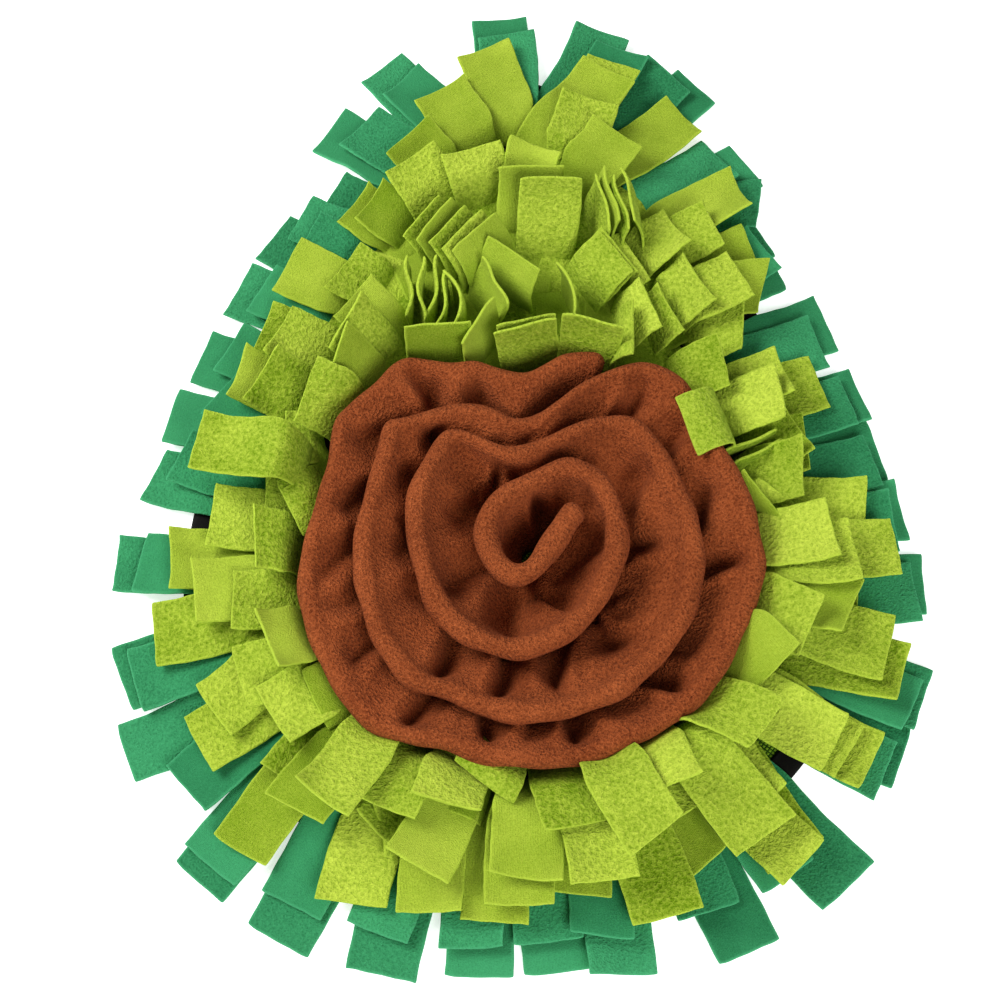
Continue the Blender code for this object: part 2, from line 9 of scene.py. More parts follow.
import bpy
import numpy as np
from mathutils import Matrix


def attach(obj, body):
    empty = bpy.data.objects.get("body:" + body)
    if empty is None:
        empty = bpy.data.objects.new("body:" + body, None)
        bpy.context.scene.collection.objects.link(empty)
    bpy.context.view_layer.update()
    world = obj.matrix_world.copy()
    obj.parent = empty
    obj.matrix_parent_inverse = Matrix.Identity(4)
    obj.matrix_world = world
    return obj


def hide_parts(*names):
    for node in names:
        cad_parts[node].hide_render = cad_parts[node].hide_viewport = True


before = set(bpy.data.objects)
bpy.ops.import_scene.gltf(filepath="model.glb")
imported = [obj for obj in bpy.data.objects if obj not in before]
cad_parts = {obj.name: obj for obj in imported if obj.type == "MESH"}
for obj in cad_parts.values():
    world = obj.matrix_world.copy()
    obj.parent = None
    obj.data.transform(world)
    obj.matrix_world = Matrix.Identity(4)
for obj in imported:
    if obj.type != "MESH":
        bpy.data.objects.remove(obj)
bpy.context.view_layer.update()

# ---------------------------------------------------------------- base panel
# A heavy woven mesh, cut to an egg shape. Everything is sewn down through it, so its top has
# slight hollows, and its underside lies flat.
MM = 0.001
MIDDLE = np.array((-0.606, -0.064))     # middle of the finished mat's box, moved to the origin
HALF_WIDTH = 156.0
HALF_LENGTH = 223.0
EGG_TAPER = 0.40
OUTLINE_STEPS = 1440        # how finely an outline is measured before it is evenly divided
PANEL_THICK = 2.0
PANEL_INSET = 1.5           # how far the cut edge lies inside the fold of the binding
PANEL_RINGS = 16
PANEL_STEPS = 120
PANEL_DIP = 0.25            # half the depth of its hollows
PANEL_DIP_LONG = (19.0, 23.0)
PANEL_PINCHED = (0.65, 2.15)    # its underside and top where the binding grips it
PANEL_COLOUR = (0.19, 0.37, 0.02)
WEAVE_DARK = (0.03, 0.09, 0.006)
WEAVE_BRIGHT = (0.30, 0.50, 0.035)
WEAVE_TURN = 38.0
WEAVE_SCALE = 175.0
WEAVE_WANDER = 0.4          # how far its threads wander
WEAVE_FIBRES = 300.0
WEAVE_HOLES = (0.08, 0.5)   # share of the threads' height where the dark ends and the bright starts
WEAVE_RELIEF = 0.0006       # in metres, as every depth of a material's relief is
PANEL_SEED = 3
TINY = 1e-9


def unit(vector):
    return vector / max(float(np.linalg.norm(vector)), TINY)


def egg(angle, inset=0.0):
    """A point of the base's outline, or of the like curve that lies inset within it."""
    x = (HALF_WIDTH - inset) * math.cos(angle) * (1.0 - EGG_TAPER * math.sin(angle))
    y = (HALF_LENGTH - inset) * math.sin(angle)
    return np.array((x, y))


def egg_loop(inset, count):
    """The outline's points, clockwise from the narrow end, evenly spaced, and its length."""
    turns = [math.tau * i / OUTLINE_STEPS for i in range(OUTLINE_STEPS + 1)]
    fine = np.array([egg(math.pi / 2 - turn, inset) for turn in turns])
    steps = np.linalg.norm(np.diff(fine, axis=0), axis=1)
    along = np.concatenate(([0.0], np.cumsum(steps)))
    wanted = np.linspace(0.0, along[-1], count + 1)[:-1]
    loop = np.column_stack([np.interp(wanted, along, fine[:, k]) for k in (0, 1)])
    return loop, along[-1]


def grid_faces(rows, columns, first=0, flip=False):
    """Quads over a grid of points, row by row."""
    i, k = np.meshgrid(np.arange(rows - 1), np.arange(columns - 1), indexing="ij")
    a = (first + i * columns + k).ravel()
    faces = np.stack((a, a + 1, a + columns + 1, a + columns), axis=1)
    return faces[:, ::-1] if flip else faces


def make_piece(name, points, faces, material, cloth=None, tone=None):
    """A smooth-shaded piece from points in millimetres, with its cloth places and tones."""
    mesh = bpy.data.meshes.new(name)
    placed = np.array(points, float)
    placed[:, :2] -= MIDDLE
    mesh.from_pydata((placed * MM).tolist(), [], [list(map(int, face)) for face in faces])
    if cloth is not None:
        layer = mesh.uv_layers.new(name="cloth")
        corners = np.empty(len(mesh.loops), dtype=np.int32)
        mesh.loops.foreach_get("vertex_index", corners)
        layer.data.foreach_set("uv", (np.array(cloth)[corners] * MM).astype(np.float32).ravel())
    if tone is not None:
        shades = mesh.color_attributes.new("tone", "FLOAT_COLOR", "POINT")
        shades.data.foreach_set("color", np.array(tone, dtype=np.float32).ravel())
    mesh.shade_smooth()
    mesh.materials.append(material)
    made = bpy.data.objects.new(name, mesh)
    bpy.context.collection.objects.link(made)
    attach(made, "root")
    return made


def add_node(material, kind, at, **settings):
    """A node of a material, with its sockets or settings filled in by name."""
    node = material.node_tree.nodes.new(kind)
    node.location = at
    for key, value in settings.items():
        if key in node.inputs:
            node.inputs[key].default_value = value
        else:
            setattr(node, key, value)
    return node


def new_material(name, colour, roughness, sheen):
    """A cloth material and its shader."""
    material = bpy.data.materials.new(name)
    material.use_nodes = True
    shader = material.node_tree.nodes["Principled BSDF"]
    shader.inputs["Base Color"].default_value = (*colour, 1.0)
    shader.inputs["Roughness"].default_value = roughness
    shader.inputs["Specular IOR Level"].default_value = 0.2
    shader.inputs["Sheen Weight"].default_value = sheen
    shader.inputs["Sheen Roughness"].default_value = 0.5
    shader.inputs["Sheen Tint"].default_value = (*[min(1.0, c * 1.5 + 0.1) for c in colour], 1.0)
    return material, shader


def add_bump(material, shader, height, strength, depth, at):
    """Relief on a cloth, from a height socket."""
    bump = add_node(material, "ShaderNodeBump", at, Strength=strength, Distance=depth)
    material.node_tree.links.new(height, bump.inputs["Height"])
    material.node_tree.links.new(bump.outputs["Normal"], shader.inputs["Normal"])


def two_colours(material, factor, low, high, at):
    """A ramp node between two colours, read by a factor."""
    ramp = add_node(material, "ShaderNodeValToRGB", at)
    ramp.color_ramp.elements[0].color = (*low, 1.0)
    ramp.color_ramp.elements[1].color = (*high, 1.0)
    material.node_tree.links.new(factor, ramp.inputs["Fac"])
    return ramp


def make_weave():
    """Two sets of threads, crossing, darker in the holes between them."""
    material, shader = new_material("woven_panel", PANEL_COLOUR, 0.8, 0.1)
    links = material.node_tree.links
    place = add_node(material, "ShaderNodeTexCoord", (-1200, 0))
    turn = add_node(material, "ShaderNodeMapping", (-1000, 0))
    turn.inputs["Rotation"].default_value = (0.0, 0.0, math.radians(WEAVE_TURN))
    links.new(place.outputs["Object"], turn.inputs["Vector"])
    both = add_node(material, "ShaderNodeMath", (-600, 0), operation="MINIMUM")
    for number, direction in enumerate("XY"):
        wave = add_node(material, "ShaderNodeTexWave", (-800, 150 - 300 * number),
                        wave_type="BANDS", bands_direction=direction)
        wave.inputs["Scale"].default_value = WEAVE_SCALE
        wave.inputs["Distortion"].default_value = WEAVE_WANDER
        wave.inputs["Detail Scale"].default_value = WEAVE_FIBRES
        links.new(turn.outputs["Vector"], wave.inputs["Vector"])
        links.new(wave.outputs["Fac"], both.inputs[number])
    ramp = two_colours(material, both.outputs[0], WEAVE_DARK, WEAVE_BRIGHT, (-400, 100))
    for stop, position in zip(ramp.color_ramp.elements, WEAVE_HOLES):
        stop.position = position
    links.new(ramp.outputs["Color"], shader.inputs["Base Color"])
    add_bump(material, shader, both.outputs[0], 0.7, WEAVE_RELIEF, (-400, -200))
    return material


def make_panel(material):
    """The panel's top and underside, each of rings round its middle, and the rim between them."""
    edge, _ = egg_loop(PANEL_INSET, PANEL_STEPS)
    shares = np.linspace(0.0, 1.0, PANEL_RINGS + 1)[1:]
    points = []
    for level in (PANEL_THICK, 0.0):
        points += [(0.0, 0.0, level)]
        points += [(*(edge[k] * share), level) for share in shares for k in range(PANEL_STEPS)]
    points = np.array(points)
    top = len(points) // 2
    x, y = points[:top, 0], points[:top, 1]
    phase = np.random.RandomState(PANEL_SEED).uniform(0, math.tau, 2)
    points[:top, 2] -= PANEL_DIP + PANEL_DIP * (np.sin(x / PANEL_DIP_LONG[0] + phase[0])
                                                * np.sin(y / PANEL_DIP_LONG[1] + phase[1]))
    outer_ring = 1 + (PANEL_RINGS - 1) * PANEL_STEPS
    points[outer_ring:top, 2] = PANEL_PINCHED[1]
    points[top + outer_ring:, 2] = PANEL_PINCHED[0]
    faces = []
    for first, flip in ((0, False), (top, True)):
        for k in range(PANEL_STEPS):
            j = (k + 1) % PANEL_STEPS
            fan = (first, first + 1 + j, first + 1 + k)
            faces.append(fan[::-1] if flip else fan)
            for r in range(PANEL_RINGS - 1):
                a = first + 1 + r * PANEL_STEPS
                b = a + PANEL_STEPS
                quad = (a + k, a + j, b + j, b + k)
                faces.append(quad[::-1] if flip else quad)
    for k in range(outer_ring, outer_ring + PANEL_STEPS):
        j = outer_ring + (k + 1 - outer_ring) % PANEL_STEPS
        faces.append((k, j, top + j, top + k))
    return make_piece("panel_cloth", points, faces, material)


panel = make_panel(make_weave())
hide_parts("base_panel")

# ---------------------------------------------------------------- binding
# Black woven tape, folded over the panel's cut edge and sewn through with black thread. It puckers
# a little between stitches.
BINDING_WIDTH = 13.0
BINDING_THICK = 3.0
BINDING_STEPS = 360
PUCKERS = 90
PUCKER_HEIGHT = 0.08
PUCKERED_FROM = 0.8         # the share of its thickness above which the tape is puckered
STITCH_INSET = 10.5
STITCH_LEVEL = 0.9          # height of the stitches as a share of the binding's
STITCH_PITCH = 4.2
STITCH_LONG = 2.9
STITCH_THICK = 0.5
STITCH_SIDES = 6
STITCH_DIP = 0.2            # how deep a stitch's ends sink into the tape
STITCH_RISE = 0.3           # how high its middle rises from there
STITCH_MARKS = 4            # places measured along the seam for each stitch
#   share of a stitch's length from its middle, share of its rise
STITCH_PROFILE = ((-0.5, 0.2), (-0.3, 0.9), (0.0, 1.0), (0.3, 0.9), (0.5, 0.2))
RIB_SCALE = 1400.0
RIB_RELIEF = 0.0003
BLACK = (0.006, 0.005, 0.005)
BLACK_LOW = (0.003, 0.0025, 0.0025)
BLACK_HIGH = (0.013, 0.011, 0.010)
#   share of the tape's width in from the edge, height as a share of its thickness
BINDING_PROFILE = (
    (1.0, 0.0), (0.5, 0.0), (0.07, 0.03), (0.0, 0.3), (0.0, 0.62), (0.07, 0.88), (0.22, 1.0),
    (0.45, 0.94), (0.7, 0.97), (0.8, 0.88), (0.9, 0.97), (1.0, 0.93),
    (1.0, 0.77), (0.5, 0.77), (0.11, 0.72), (0.08, 0.5), (0.11, 0.22), (0.5, 0.18), (1.0, 0.18),
)


def make_tape_material():
    """Close black ribs, barely lighter on top."""
    material, shader = new_material("black_binding", BLACK, 0.75, 0.25)
    links = material.node_tree.links
    place = add_node(material, "ShaderNodeTexCoord", (-1000, 0))
    ribs = add_node(material, "ShaderNodeTexNoise", (-800, 100), Scale=RIB_SCALE, Detail=2.0)
    links.new(place.outputs["Object"], ribs.inputs["Vector"])
    ramp = two_colours(material, ribs.outputs["Fac"], BLACK_LOW, BLACK_HIGH, (-500, 150))
    links.new(ramp.outputs["Color"], shader.inputs["Base Color"])
    add_bump(material, shader, ribs.outputs["Fac"], 0.5, RIB_RELIEF, (-500, -150))
    return material


def inward_normals(loop):
    """Unit vectors that point into a clockwise loop."""
    along = np.roll(loop, -1, axis=0) - np.roll(loop, 1, axis=0)
    normal = np.column_stack((along[:, 1], -along[:, 0]))
    return normal / np.linalg.norm(normal, axis=1)[:, None]


def tube_faces(rings, sides, first=0, joined=True):
    """Quads along a row of like rings of points, whose last ring may join its first."""
    faces = []
    for ring in range(rings if joined else rings - 1):
        near = first + ring * sides
        far = first + (ring + 1) % rings * sides
        for side in range(sides):
            turn = (side + 1) % sides
            faces.append((near + side, near + turn, far + turn, far + side))
    return faces


def make_binding(material):
    """The folded tape: its section, carried round the outline."""
    edge, _ = egg_loop(0.0, BINDING_STEPS)
    inward = inward_normals(edge)
    pucker = np.sin(np.arange(BINDING_STEPS) * math.tau * PUCKERS / BINDING_STEPS)
    points = []
    for k in range(BINDING_STEPS):
        for share, height in BINDING_PROFILE:
            place = edge[k] + inward[k] * BINDING_WIDTH * share
            lift = PUCKER_HEIGHT * pucker[k] if height > PUCKERED_FROM else 0.0
            points.append((*place, height * BINDING_THICK + lift))
    faces = tube_faces(BINDING_STEPS, len(BINDING_PROFILE))
    return make_piece("binding_tape", points, faces, material)


def make_stitches(name, material, inset, height):
    """A row of short raised threads, each a bar with its ends dipped into the cloth."""
    _, length = egg_loop(inset, 8)
    count = int(length / STITCH_PITCH)
    loop, _ = egg_loop(inset, count * STITCH_MARKS)
    points = []
    faces = []
    for k in range(0, len(loop), STITCH_MARKS):
        along = unit(loop[(k + 1) % len(loop)] - loop[k - 1])
        side = np.array((-along[1], along[0]))
        first = len(points)
        for share, rise in STITCH_PROFILE:
            for s in range(STITCH_SIDES):
                turn = math.tau * s / STITCH_SIDES
                spot = loop[k] + along * share * STITCH_LONG
                spot = spot + side * math.cos(turn) * STITCH_THICK / 2
                lift = height - STITCH_DIP + STITCH_RISE * rise
                points.append((*spot, lift + math.sin(turn) * STITCH_THICK / 2))
        faces += tube_faces(len(STITCH_PROFILE), STITCH_SIDES, first, joined=False)
        faces.append(tuple(range(first + STITCH_SIDES - 1, first - 1, -1)))
        faces.append(tuple(range(len(points) - STITCH_SIDES, len(points))))
    return make_piece(name, points, faces, material)


tape = make_tape_material()
binding = make_binding(tape)
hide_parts("binding")
binding_stitches = make_stitches("binding_stitches", tape, STITCH_INSET,
                                 BINDING_THICK * STITCH_LEVEL)

# ---------------------------------------------------------------- root tapes
# Narrow black tapes, sewn to the panel in egg-shaped rounds. The locks' roots are caught in them,
# so black shows wherever the fleece parts.
TAPE_WIDTH = 6.2
TAPE_BOTTOM = 2.05
TAPE_THICK = 0.7
TAPE_STEPS = 240
#   share of the tape's width from its middle, share of its thickness
TAPE_SECTION = ((-0.5, 0.1), (-0.44, 0.9), (0.0, 1.0), (0.44, 0.9), (0.5, 0.1), (0.0, 0.0))
#   how far in from the outline each round of locks is sewn
ROW_INSETS = {"dark_lower": 28.0, "dark_upper": 35.5, "light_outer": 42.5, "light_middle": 49.5,
              "light_inner": 56.5}


def make_root_tapes(material):
    """A flat tape under each round of locks, all one piece."""
    points = []
    faces = []
    for inset in ROW_INSETS.values():
        loop, _ = egg_loop(inset, TAPE_STEPS)
        inward = inward_normals(loop)
        faces += tube_faces(TAPE_STEPS, len(TAPE_SECTION), len(points))
        for k in range(TAPE_STEPS):
            for share, height in TAPE_SECTION:
                spot = loop[k] + inward[k] * TAPE_WIDTH * share
                points.append((*spot, TAPE_BOTTOM + TAPE_THICK * height))
    return make_piece("root_tapes", points, faces, material)


root_tapes = make_root_tapes(tape)

# ---------------------------------------------------------------- dark locks
# Two rounds of dark green fleece, slit into locks 32 mm wide that flop over the binding to the
# floor. Each lock is cut square, is about as thick as felt, and takes the shape of what lies
# under it. The locks are laid from the outside in, as they are sewn.
FLEECE = 1.8
LOCK_WIDTH = 32.0
ROOT_HEIGHT = 2.9
ROOT_LAP = 8.0              # how far neighbouring locks overlap where they are caught in the tape
LOCK_GAP = 0.15             # air between a lock and what it lies on
LOCK_ROWS = 20
LOCK_COLUMNS = 8
STIFFNESS = 2500.0          # how far the fleece holds itself up: bending length cubed
TENSION = 60.0              # how firmly it lies against what is under it
SHORTEST = 30.0
STEEPEST = 3.0              # slope past which a lock's thickness is no longer followed
REST_ROUNDS = 3
REST_STEPS = 150
ROUND_LENGTHS = 6           # lengths of fringe that are sewn end to end in a round
ROUND_STEPS = 720           # places round a tape where a lock can be rooted
ROUND_SIGHT = 3             # places looked to on each side for the tape's direction
ROOT_ROOM = 3.4             # more than a root's own width, between two roots
ROOM_ROUNDS = 400
USUAL_REACH = 60.0          # from a lock's root to its cut end, in plan
REACH_SLACK = 40.0
SQUARE_WEIGHT = 4.0
EDGE_CLEARANCE = 2.0
BOLD_SHARE = 0.3            # share of the locks whose corners turn up boldly
BOLD_CURL = 2.6             # how much farther they turn up
END_LIFT = 2.6
CORNER_LIFT = 3.4
EDGE_LIFT = (0.2, 1.2)
RIPPLE_HEIGHT = 0.45
ROOT_OPENS = (0.04, 0.34)   # where a lock's root starts to open to its width, and over how much
CURLS_FROM = 0.45           # how far along a lock its curl starts
SQUARING = 0.75             # how far a lock's width turns square to its run
CUT_THINNING = 0.75         # how thin the fleece is at a cut edge, as a share
PATTERN_SHIFT = (47.0, 31.0)    # from one lock's cloth to the next one's
FUZZ_SCALE = 1450.0
FUZZ_SHADE = 0.75           # how much the fuzz shades the cloth, next to the nap's contrast
FUZZ_RELIEF = 0.5           # how much it raises the cloth, next to the nap
PATCH_SCALE = 40.0
PATCH_SHADE = 0.5
LOCK_SHADE = 0.5            # how much one lock is lighter or darker than another
KNIT_SCALE = 430.0
KNIT_RELIEF = 0.05
FACE_UP_SHARE = 0.68        # share of the locks that lie with the brushed face up
HEAP_CORNER = (-235, -305)
HEAP_SIZE = (470, 610)
HEAP_EDGE = 3
DENSE_GRID = (110, 44)      # places along and across a lock that are marked on the heap
#   places along and across a lock where its mesh has points, closer together at the cut edges
ALONG = np.concatenate((np.linspace(0.0, 0.95, 20), (0.985, 1.0)))
ACROSS = np.array((0.0, 0.035, 0.14, 0.3, 0.5, 0.7, 0.86, 0.965, 1.0))

DARK_LOWER = (
    (-10, 265, 95), (49, 256, 70), (101, 219, 40), (126, 168, 30), (131, 125, 25),
    (137, 104, 25), (163, 71, 20), (177, 28, 15), (184, -3, 15), (193, -36, 10),
    (201, -75, 5), (195, -135, -25), (183, -163, -15), (153, -224, -45), (105, -254, -70),
    (47, -264, -90), (17, -263, -85), (-19, -265, -90), (-64, -264, -95), (-112, -249, -115),
    (-150, -222, -125), (-189, -161, -165), (-194, -124, -155), (-201, -64, 170),
    (-186, -16, 155), (-180, 17, 165), (-166, 51, 160), (-149, 91, 155), (-132, 123, 155),
    (-117, 132, 150), (-101, 148, 145), (-104, 191, 150), (-76, 232, 135),
)
DARK_UPPER = (
    (-6, 253, 100), (59, 240, 65), (85, 225, 45), (111, 170, 45), (131, 142, -30),
    (131, 112, 40), (157, 58, 15), (170, 23, 20), (180, -11, 20), (187, -45, 10),
    (196, -80, 15), (189, -139, -30), (174, -170, -25), (125, -220, -60), (87, -236, -80),
    (37, -248, -100), (13, -250, -85), (-23, -253, -90), (-66, -246, -110), (-106, -233, -112),
    (-145, -215, -120), (-158, -179, -130), (-187, -126, -160), (-189, -65, 170),
    (-172, -8, 150), (-153, 28, 135), (-151, 54, 150), (-136, 88, 155), (-112, 118, 160),
    (-87, 190, 145), (-65, 221, 145),
)


class Heap:
    """The height of all cloth laid so far, on a 1 mm grid over the mat."""

    def __init__(self):
        self.corner = np.array(HEAP_CORNER)
        self.top = np.zeros(HEAP_SIZE)

    def cells(self, plan):
        at = np.rint(plan).astype(int) - self.corner
        last = np.array(HEAP_SIZE) - HEAP_EDGE - 1
        at = np.clip(at, HEAP_EDGE, last)
        return at[..., 0], at[..., 1]

    def lay(self, plan, height):
        np.maximum.at(self.top, self.cells(plan), height)

    def lay_lock(self, middle):
        """Lay a lock, whose grid is read finely enough to leave no cell out."""
        dense = read_grid(middle, DENSE_ROWS, DENSE_COLUMNS)
        self.lay(dense[..., :2], dense[..., 2] + FLEECE / 2)

    def under(self, plan):
        """The highest cloth within about 2 mm of each place."""
        found = np.zeros(plan.shape[:-1])
        for step in ((0, 0), (2, 0), (-2, 0), (0, 2), (0, -2), (1, 1), (-1, 1), (1, -1), (-1, -1)):
            found = np.maximum(found, self.top[self.cells(plan + np.array(step))])
        return found


def between(count, wanted):
    """A matrix that reads evenly spaced values at the wanted shares of their length."""
    matrix = np.zeros((len(wanted), count))
    place = np.clip(np.array(wanted) * (count - 1), 0, count - 1 - 1e-9)
    low = place.astype(int)
    rows = np.arange(len(wanted))
    matrix[rows, low] = 1 - (place - low)
    matrix[rows, low + 1] += place - low
    return matrix


def differences(order, count):
    """Differences of first or second order along a line of points."""
    return np.diff(np.eye(count), n=order, axis=0)


def read_grid(middle, rows, columns):
    """A lock's grid of points, read at other places along and across it."""
    return np.einsum("ri,ijk,cj->rck", rows, middle, columns)


def ease(share):
    """A share from 0 to 1 that starts and stops softly."""
    share = np.clip(share, 0.0, 1.0)
    return share * share * (3 - 2 * share)


def heading_of(degrees):
    """A unit vector in plan, from an angle anticlockwise from +X."""
    return np.array((math.cos(math.radians(degrees)), math.sin(math.radians(degrees))))


READ_ROWS = between(LOCK_ROWS + 1, ALONG)
READ_COLUMNS = between(LOCK_COLUMNS + 1, ACROSS)
DENSE_ROWS = between(LOCK_ROWS + 1, np.linspace(0, 1, DENSE_GRID[0]))
DENSE_COLUMNS = between(LOCK_COLUMNS + 1, np.linspace(0, 1, DENSE_GRID[1]))
EYE_ROWS = np.eye(LOCK_ROWS + 1)
EYE_COLUMNS = np.eye(LOCK_COLUMNS + 1)
ALONG_BEND = np.kron(differences(2, LOCK_ROWS + 1), EYE_COLUMNS)
ACROSS_BEND = np.kron(EYE_ROWS, differences(2, LOCK_COLUMNS + 1))
ALONG_SLOPE = np.kron(differences(1, LOCK_ROWS + 1), EYE_COLUMNS)
ACROSS_SLOPE = np.kron(EYE_ROWS, differences(1, LOCK_COLUMNS + 1))
TWIST = np.kron(differences(1, LOCK_ROWS + 1), differences(1, LOCK_COLUMNS + 1))


def lock_plan(root, along_row, tip, heading, root_width):
    """Plan places of a lock's grid, from its root on the tape to its cut end."""
    t = np.linspace(0.0, 1.0, LOCK_ROWS + 1)[:, None]
    reach = float(np.linalg.norm(tip - root))
    end = heading_of(heading)
    middle = (root + unit(tip - root) * reach * 0.5 + tip - end * reach * 0.5) * 0.5
    path = (1 - t) ** 2 * root + 2 * t * (1 - t) * middle + t ** 2 * tip
    run = 2 * (1 - t) * (middle - root) + 2 * t * (tip - middle)
    run /= np.linalg.norm(run, axis=1)[:, None]
    across_end = np.array((-end[1], end[0]))
    across_root = unit(along_row)
    if across_root @ across_end < 0:
        across_root = -across_root
    opened = ease((t - ROOT_OPENS[0]) / ROOT_OPENS[1])
    across = across_root * (1 - opened) + across_end * opened
    across -= SQUARING * (across * run).sum(axis=1)[:, None] * run
    across /= np.linalg.norm(across, axis=1)[:, None]
    side = across * (root_width + (LOCK_WIDTH - root_width) * opened)
    shares = np.linspace(-0.5, 0.5, LOCK_COLUMNS + 1)[None, :, None]
    return path[:, None, :] + side[:, None, :] * shares, reach


def slope_of(height, row_gap, column_gap):
    rows, columns = np.gradient(height, row_gap, column_gap)
    return np.minimum(np.sqrt(rows ** 2 + columns ** 2), STEEPEST)


def rest_on(heap, plan, reach, least):
    """Heights of a lock as it bends under its own weight over the cloth below it."""
    row_gap = max(reach, SHORTEST) / LOCK_ROWS
    column_gap = LOCK_WIDTH / LOCK_COLUMNS
    stiff = ALONG_BEND.T @ ALONG_BEND / row_gap ** 4
    stiff = stiff + ACROSS_BEND.T @ ACROSS_BEND / column_gap ** 4
    stiff = stiff + 2 * TWIST.T @ TWIST / (row_gap * column_gap) ** 2
    pull = ALONG_SLOPE.T @ ALONG_SLOPE / row_gap ** 2
    pull = pull + ACROSS_SLOPE.T @ ACROSS_SLOPE / column_gap ** 2
    solve = np.linalg.inv(STIFFNESS * stiff + TENSION * pull + np.eye(len(stiff)))
    below = heap.under(plan)
    below = np.where(below > 0.0, below + LOCK_GAP, 0.0)
    slope = np.zeros(below.shape)
    for _ in range(REST_ROUNDS):
        need = np.maximum(below + FLEECE / 2 * np.sqrt(1 + slope ** 2), least)
        held = need.ravel().copy()
        push = np.zeros(len(held))
        for _ in range(REST_STEPS):
            free = solve @ (held - push - 1.0)
            held = np.maximum(free + push, need.ravel())
            held[:LOCK_COLUMNS + 1] = ROOT_HEIGHT
            push += free - held
        height = held.reshape(below.shape)
        slope = slope_of(height, row_gap, column_gap)
    return height


def curl(chance, liveliness):
    """How far a lock's cut end, corners and edges lift off what they lie on."""
    t = np.linspace(0.0, 1.0, LOCK_ROWS + 1)[:, None]
    s = np.linspace(0.0, 1.0, LOCK_COLUMNS + 1)[None, :]
    outer = np.clip((t - CURLS_FROM) / (1 - CURLS_FROM), 0.0, 1.0)
    bold = BOLD_CURL if chance.uniform() < BOLD_SHARE else 1.0
    lift = chance.uniform(0.0, END_LIFT) * outer ** 2
    lift = lift + bold * chance.uniform(0.0, CORNER_LIFT) * outer ** 2 * s ** 3
    lift = lift + bold * chance.uniform(0.0, CORNER_LIFT) * outer ** 2 * (1 - s) ** 3
    lift = lift + chance.uniform(*EDGE_LIFT) * t * (2 * s - 1) ** 2
    ripple = np.sin(math.tau * (t * chance.uniform(0.8, 1.8) + s * chance.uniform(-0.8, 0.8)
                                + chance.uniform()))
    return liveliness * (lift + RIPPLE_HEIGHT * t * (1 + ripple))


def face_directions(middle):
    """Unit normals of a lock's grid of points."""
    down = np.gradient(middle, axis=0)
    side = np.gradient(middle, axis=1)
    normal = np.cross(side, down)
    return normal / np.maximum(np.linalg.norm(normal, axis=2), TINY)[..., None]


def cut_by_hand(middle, chance):
    """A lock's grid, drawn in or out at its sides and end by how unevenly it was cut."""
    across = middle[:, -1:] - middle[:, :1]
    run = np.gradient(middle, axis=0)
    run /= np.maximum(np.linalg.norm(run, axis=2), TINY)[..., None]
    spread = (ACROSS - 0.5)[None, :, None]
    t = ALONG[:, None, None]
    #   the sides, as shares of the lock's width: wandering, nibbled, then wide or narrow overall
    waves = 0.014 * np.sin(t * chance.uniform(7, 12) + chance.uniform(0, 6))
    waves = waves + 0.010 * np.sin(t * 31.0 + chance.uniform(0, 6) + 4 * spread)
    wide = chance.uniform(-0.06, 0.04) + waves + chance.uniform(-0.05, 0.05) * t
    #   the end, in millimetres: aslant, then its corners, then a slight wave
    slant = chance.uniform(-2.2, 2.2) * spread + chance.uniform(-1.0, 0.4) * (2 * spread) ** 4
    slant = slant + 0.35 * np.sin(spread * 17.0 + chance.uniform(0, 6))
    reach = np.clip((t - 0.8) / 0.2, 0.0, 1.0) ** 2
    return middle + across * spread * wide * np.clip(t / 0.3, 0.0, 1.0) + run * slant * reach


def edge_walk(rows, columns):
    """The numbers of a grid's points, once round its edge."""
    walk = [(0, c) for c in range(columns)] + [(r, columns - 1) for r in range(1, rows)]
    walk += [(rows - 1, c) for c in range(columns - 2, -1, -1)]
    walk += [(r, 0) for r in range(rows - 2, 0, -1)]
    return np.array([r * columns + c for r, c in walk])


def two_skins(rows, columns, first=0):
    """Faces of a cloth from two like grids of points, face and back, and of its cut edges."""
    size = rows * columns
    near = first + edge_walk(rows, columns)
    after = np.roll(near, -1)
    edges = np.stack((near + size, after + size, after, near), axis=1)
    return [grid_faces(rows, columns, first), grid_faces(rows, columns, first + size, True), edges]


def add_lock(parts, middle, number, chance, long=None):
    """A lock's two faces and its cut edges, added to the points and faces of its row."""
    rows, columns = middle.shape[:2]
    if long is None:
        run = np.diff(middle[:, columns // 2], axis=0)
        long = float(np.linalg.norm(run, axis=1).sum())
    middle = cut_by_hand(middle, chance)
    normal = face_directions(middle)
    half = np.full((rows, columns), FLEECE / 2)
    half[:, 0] *= CUT_THINNING
    half[:, -1] *= CUT_THINNING
    half[-1, :] *= CUT_THINNING
    parts["faces"] += two_skins(rows, columns, sum(len(block) for block in parts["points"]))
    for direction in (1.0, -1.0):
        parts["points"].append((middle + direction * normal * half[..., None]).reshape(-1, 3))
    place = np.broadcast_arrays(ACROSS[None, :] * LOCK_WIDTH, ALONG[:, None] * long)
    place = np.stack(place, axis=2).reshape(-1, 2) + number * np.array(PATTERN_SHIFT)
    parts["cloth"] += [place, place]
    #   red is the lock's own shade, green marks its cut edges, and blue says which side is up
    tone = np.zeros((rows, columns, 4))
    tone[..., 0] = chance.uniform()
    tone[:, 0, 1] = tone[:, -1, 1] = tone[-1, :, 1] = 1.0
    tone[..., 2] = chance.uniform()
    tone[..., 3] = 1.0
    parts["tone"] += [tone.reshape(-1, 4), tone.reshape(-1, 4)]
    parts["count"] += 1
    parts["long"] += long


